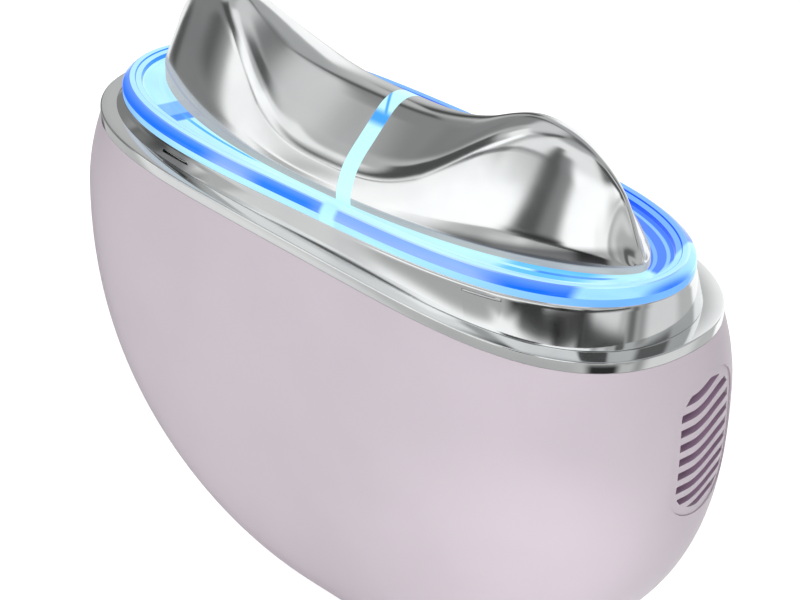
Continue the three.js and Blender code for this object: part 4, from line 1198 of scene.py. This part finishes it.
def studio_world():
    """White to the camera; a soft studio of bright and dark cards to everything else."""
    world = bpy.data.worlds.new("studio")
    bpy.context.scene.world = world
    world.use_nodes = True
    world.node_tree.nodes.clear()
    graph = Graph(world.node_tree)
    direction = graph.add("ShaderNodeTexCoord").outputs["Generated"]
    x, y, z = graph.split(direction)
    around = graph.math("ARCTAN2", y, x)
    height = graph.math("ARCSINE", z)
    colour = graph.mix(graph.smooth(height, 0.3, 1.0), (0.56, 0.565, 0.56, 1), (0.45, 0.455, 0.455, 1))
    for card in CARDS:
        grey = (card.brightness, card.brightness, card.brightness, 1)
        colour = graph.mix(card_share(graph, around, height, card), colour, grey)
    camera_ray = graph.add("ShaderNodeLightPath").outputs["Is Camera Ray"]
    seen = graph.add("ShaderNodeBackground", {0: (1, 1, 1, 1), 1: 1.0}).outputs[0]
    light = graph.add("ShaderNodeBackground", {0: colour, 1: 1.0}).outputs[0]
    chosen = graph.add("ShaderNodeMixShader", {0: camera_ray, 1: light, 2: seen}).outputs[0]
    graph.add("ShaderNodeOutputWorld", {0: chosen})


def floor():
    """A matt white floor that takes the shadow, lit up to plain white for the camera alone."""
    made, graph, shader, _ = material("white floor")
    graph.feed(shader, {"Base Color": (0.92, 0.92, 0.92, 1), "Roughness": 0.9})
    output = next(node for node in made.node_tree.nodes if node.type == "OUTPUT_MATERIAL")
    camera_ray = graph.add("ShaderNodeLightPath").outputs["Is Camera Ray"]
    white = graph.add("ShaderNodeEmission", {0: (1, 1, 1, 1), 1: 0.7}).outputs[0]
    total = graph.add("ShaderNodeAddShader", {0: shader.outputs[0], 1: white}).outputs[0]
    chosen = graph.add("ShaderNodeMixShader", {0: camera_ray, 1: shader.outputs[0], 2: total}).outputs[0]
    graph.feed(output, {0: chosen})
    bpy.ops.mesh.primitive_plane_add(size=6, location=(0, 0, -0.0002))
    plane = bpy.context.object
    plane.name = "studio_floor"
    plane.data.materials.append(made)
    plane.visible_glossy = False


def lamp(name, kind, power, place, target):
    """A lamp at a place in metres, aimed at a target and not seen in mirrors."""
    light = bpy.data.lights.new(name, kind)
    light.energy = power
    holder = add_object(name, light)
    holder.location = place
    holder.visible_glossy = False
    holder.rotation_euler = (Vector(target) - Vector(place)).to_track_quat("-Z", "Y").to_euler()
    return light


def softbox(name, power, place, size):
    """A soft lamp aimed at the middle of the part."""
    light = lamp(name, "AREA", power, place, target=(0, 0, 0.05))
    light.shape = "RECTANGLE"
    light.size, light.size_y = size


def lights():
    """Powers in watts, places and sizes in metres."""
    softbox("front softbox", 1.1, (0.25, -0.95, 0.35), (0.8, 0.6))
    softbox("low softbox", 2.8, (0.62, -0.38, 0.01), (0.35, 0.2))
    softbox("left softbox", 0.75, (-0.6, -0.65, 0.15), (0.6, 0.5))
    softbox("rear softbox", 1.7, (-0.2, 0.95, 0.35), (0.8, 0.6))
    glow = lamp("low glow", "SPOT", 2.2, (0.5, -0.38, 0.01), target=(0.036, -0.012, 0.024))
    glow.spot_size = math.radians(5)
    glow.spot_blend = 1


# Camera at the photograph's viewing angle: angles in radians, lengths in millimetres
VIEW_AZIMUTH = 0.816
VIEW_ELEVATION = 0.515
VIEW_ROLL = 0.020
VIEW_DISTANCE = 515.4
VIEW_PAN_RIGHT = -0.082
VIEW_PAN_UP = 13.266
LENS = 183.6
SENSOR_WIDTH = 36


def camera():
    flat = math.cos(VIEW_ELEVATION)
    back = np.array([
        math.sin(VIEW_AZIMUTH) * flat, -math.cos(VIEW_AZIMUTH) * flat, math.sin(VIEW_ELEVATION)])
    level_right = np.array([math.cos(VIEW_AZIMUTH), math.sin(VIEW_AZIMUTH), 0])
    level_up = np.cross(back, level_right)
    right = math.cos(VIEW_ROLL) * level_right + math.sin(VIEW_ROLL) * level_up
    up = -math.sin(VIEW_ROLL) * level_right + math.cos(VIEW_ROLL) * level_up
    place = back * VIEW_DISTANCE - right * VIEW_PAN_RIGHT - up * VIEW_PAN_UP + (0, 0, RIM_PLANE)
    data = bpy.data.cameras.new("camera")
    data.sensor_width = SENSOR_WIDTH
    data.lens = LENS
    data.clip_start = 0.01
    data.clip_end = 20
    eye = add_object("camera", data)
    turn = Matrix((right, up, back)).transposed().to_4x4()
    eye.matrix_world = Matrix.Translation(place * MM) @ turn
    bpy.context.scene.camera = eye


bpy.context.scene.view_settings.view_transform = "Standard"
dress_frame()
body_shell()
bezel()
head_collar()
light_ring()
electrodes()
vent_panels()
rear_controls()
studio_world()
floor()
lights()
camera()
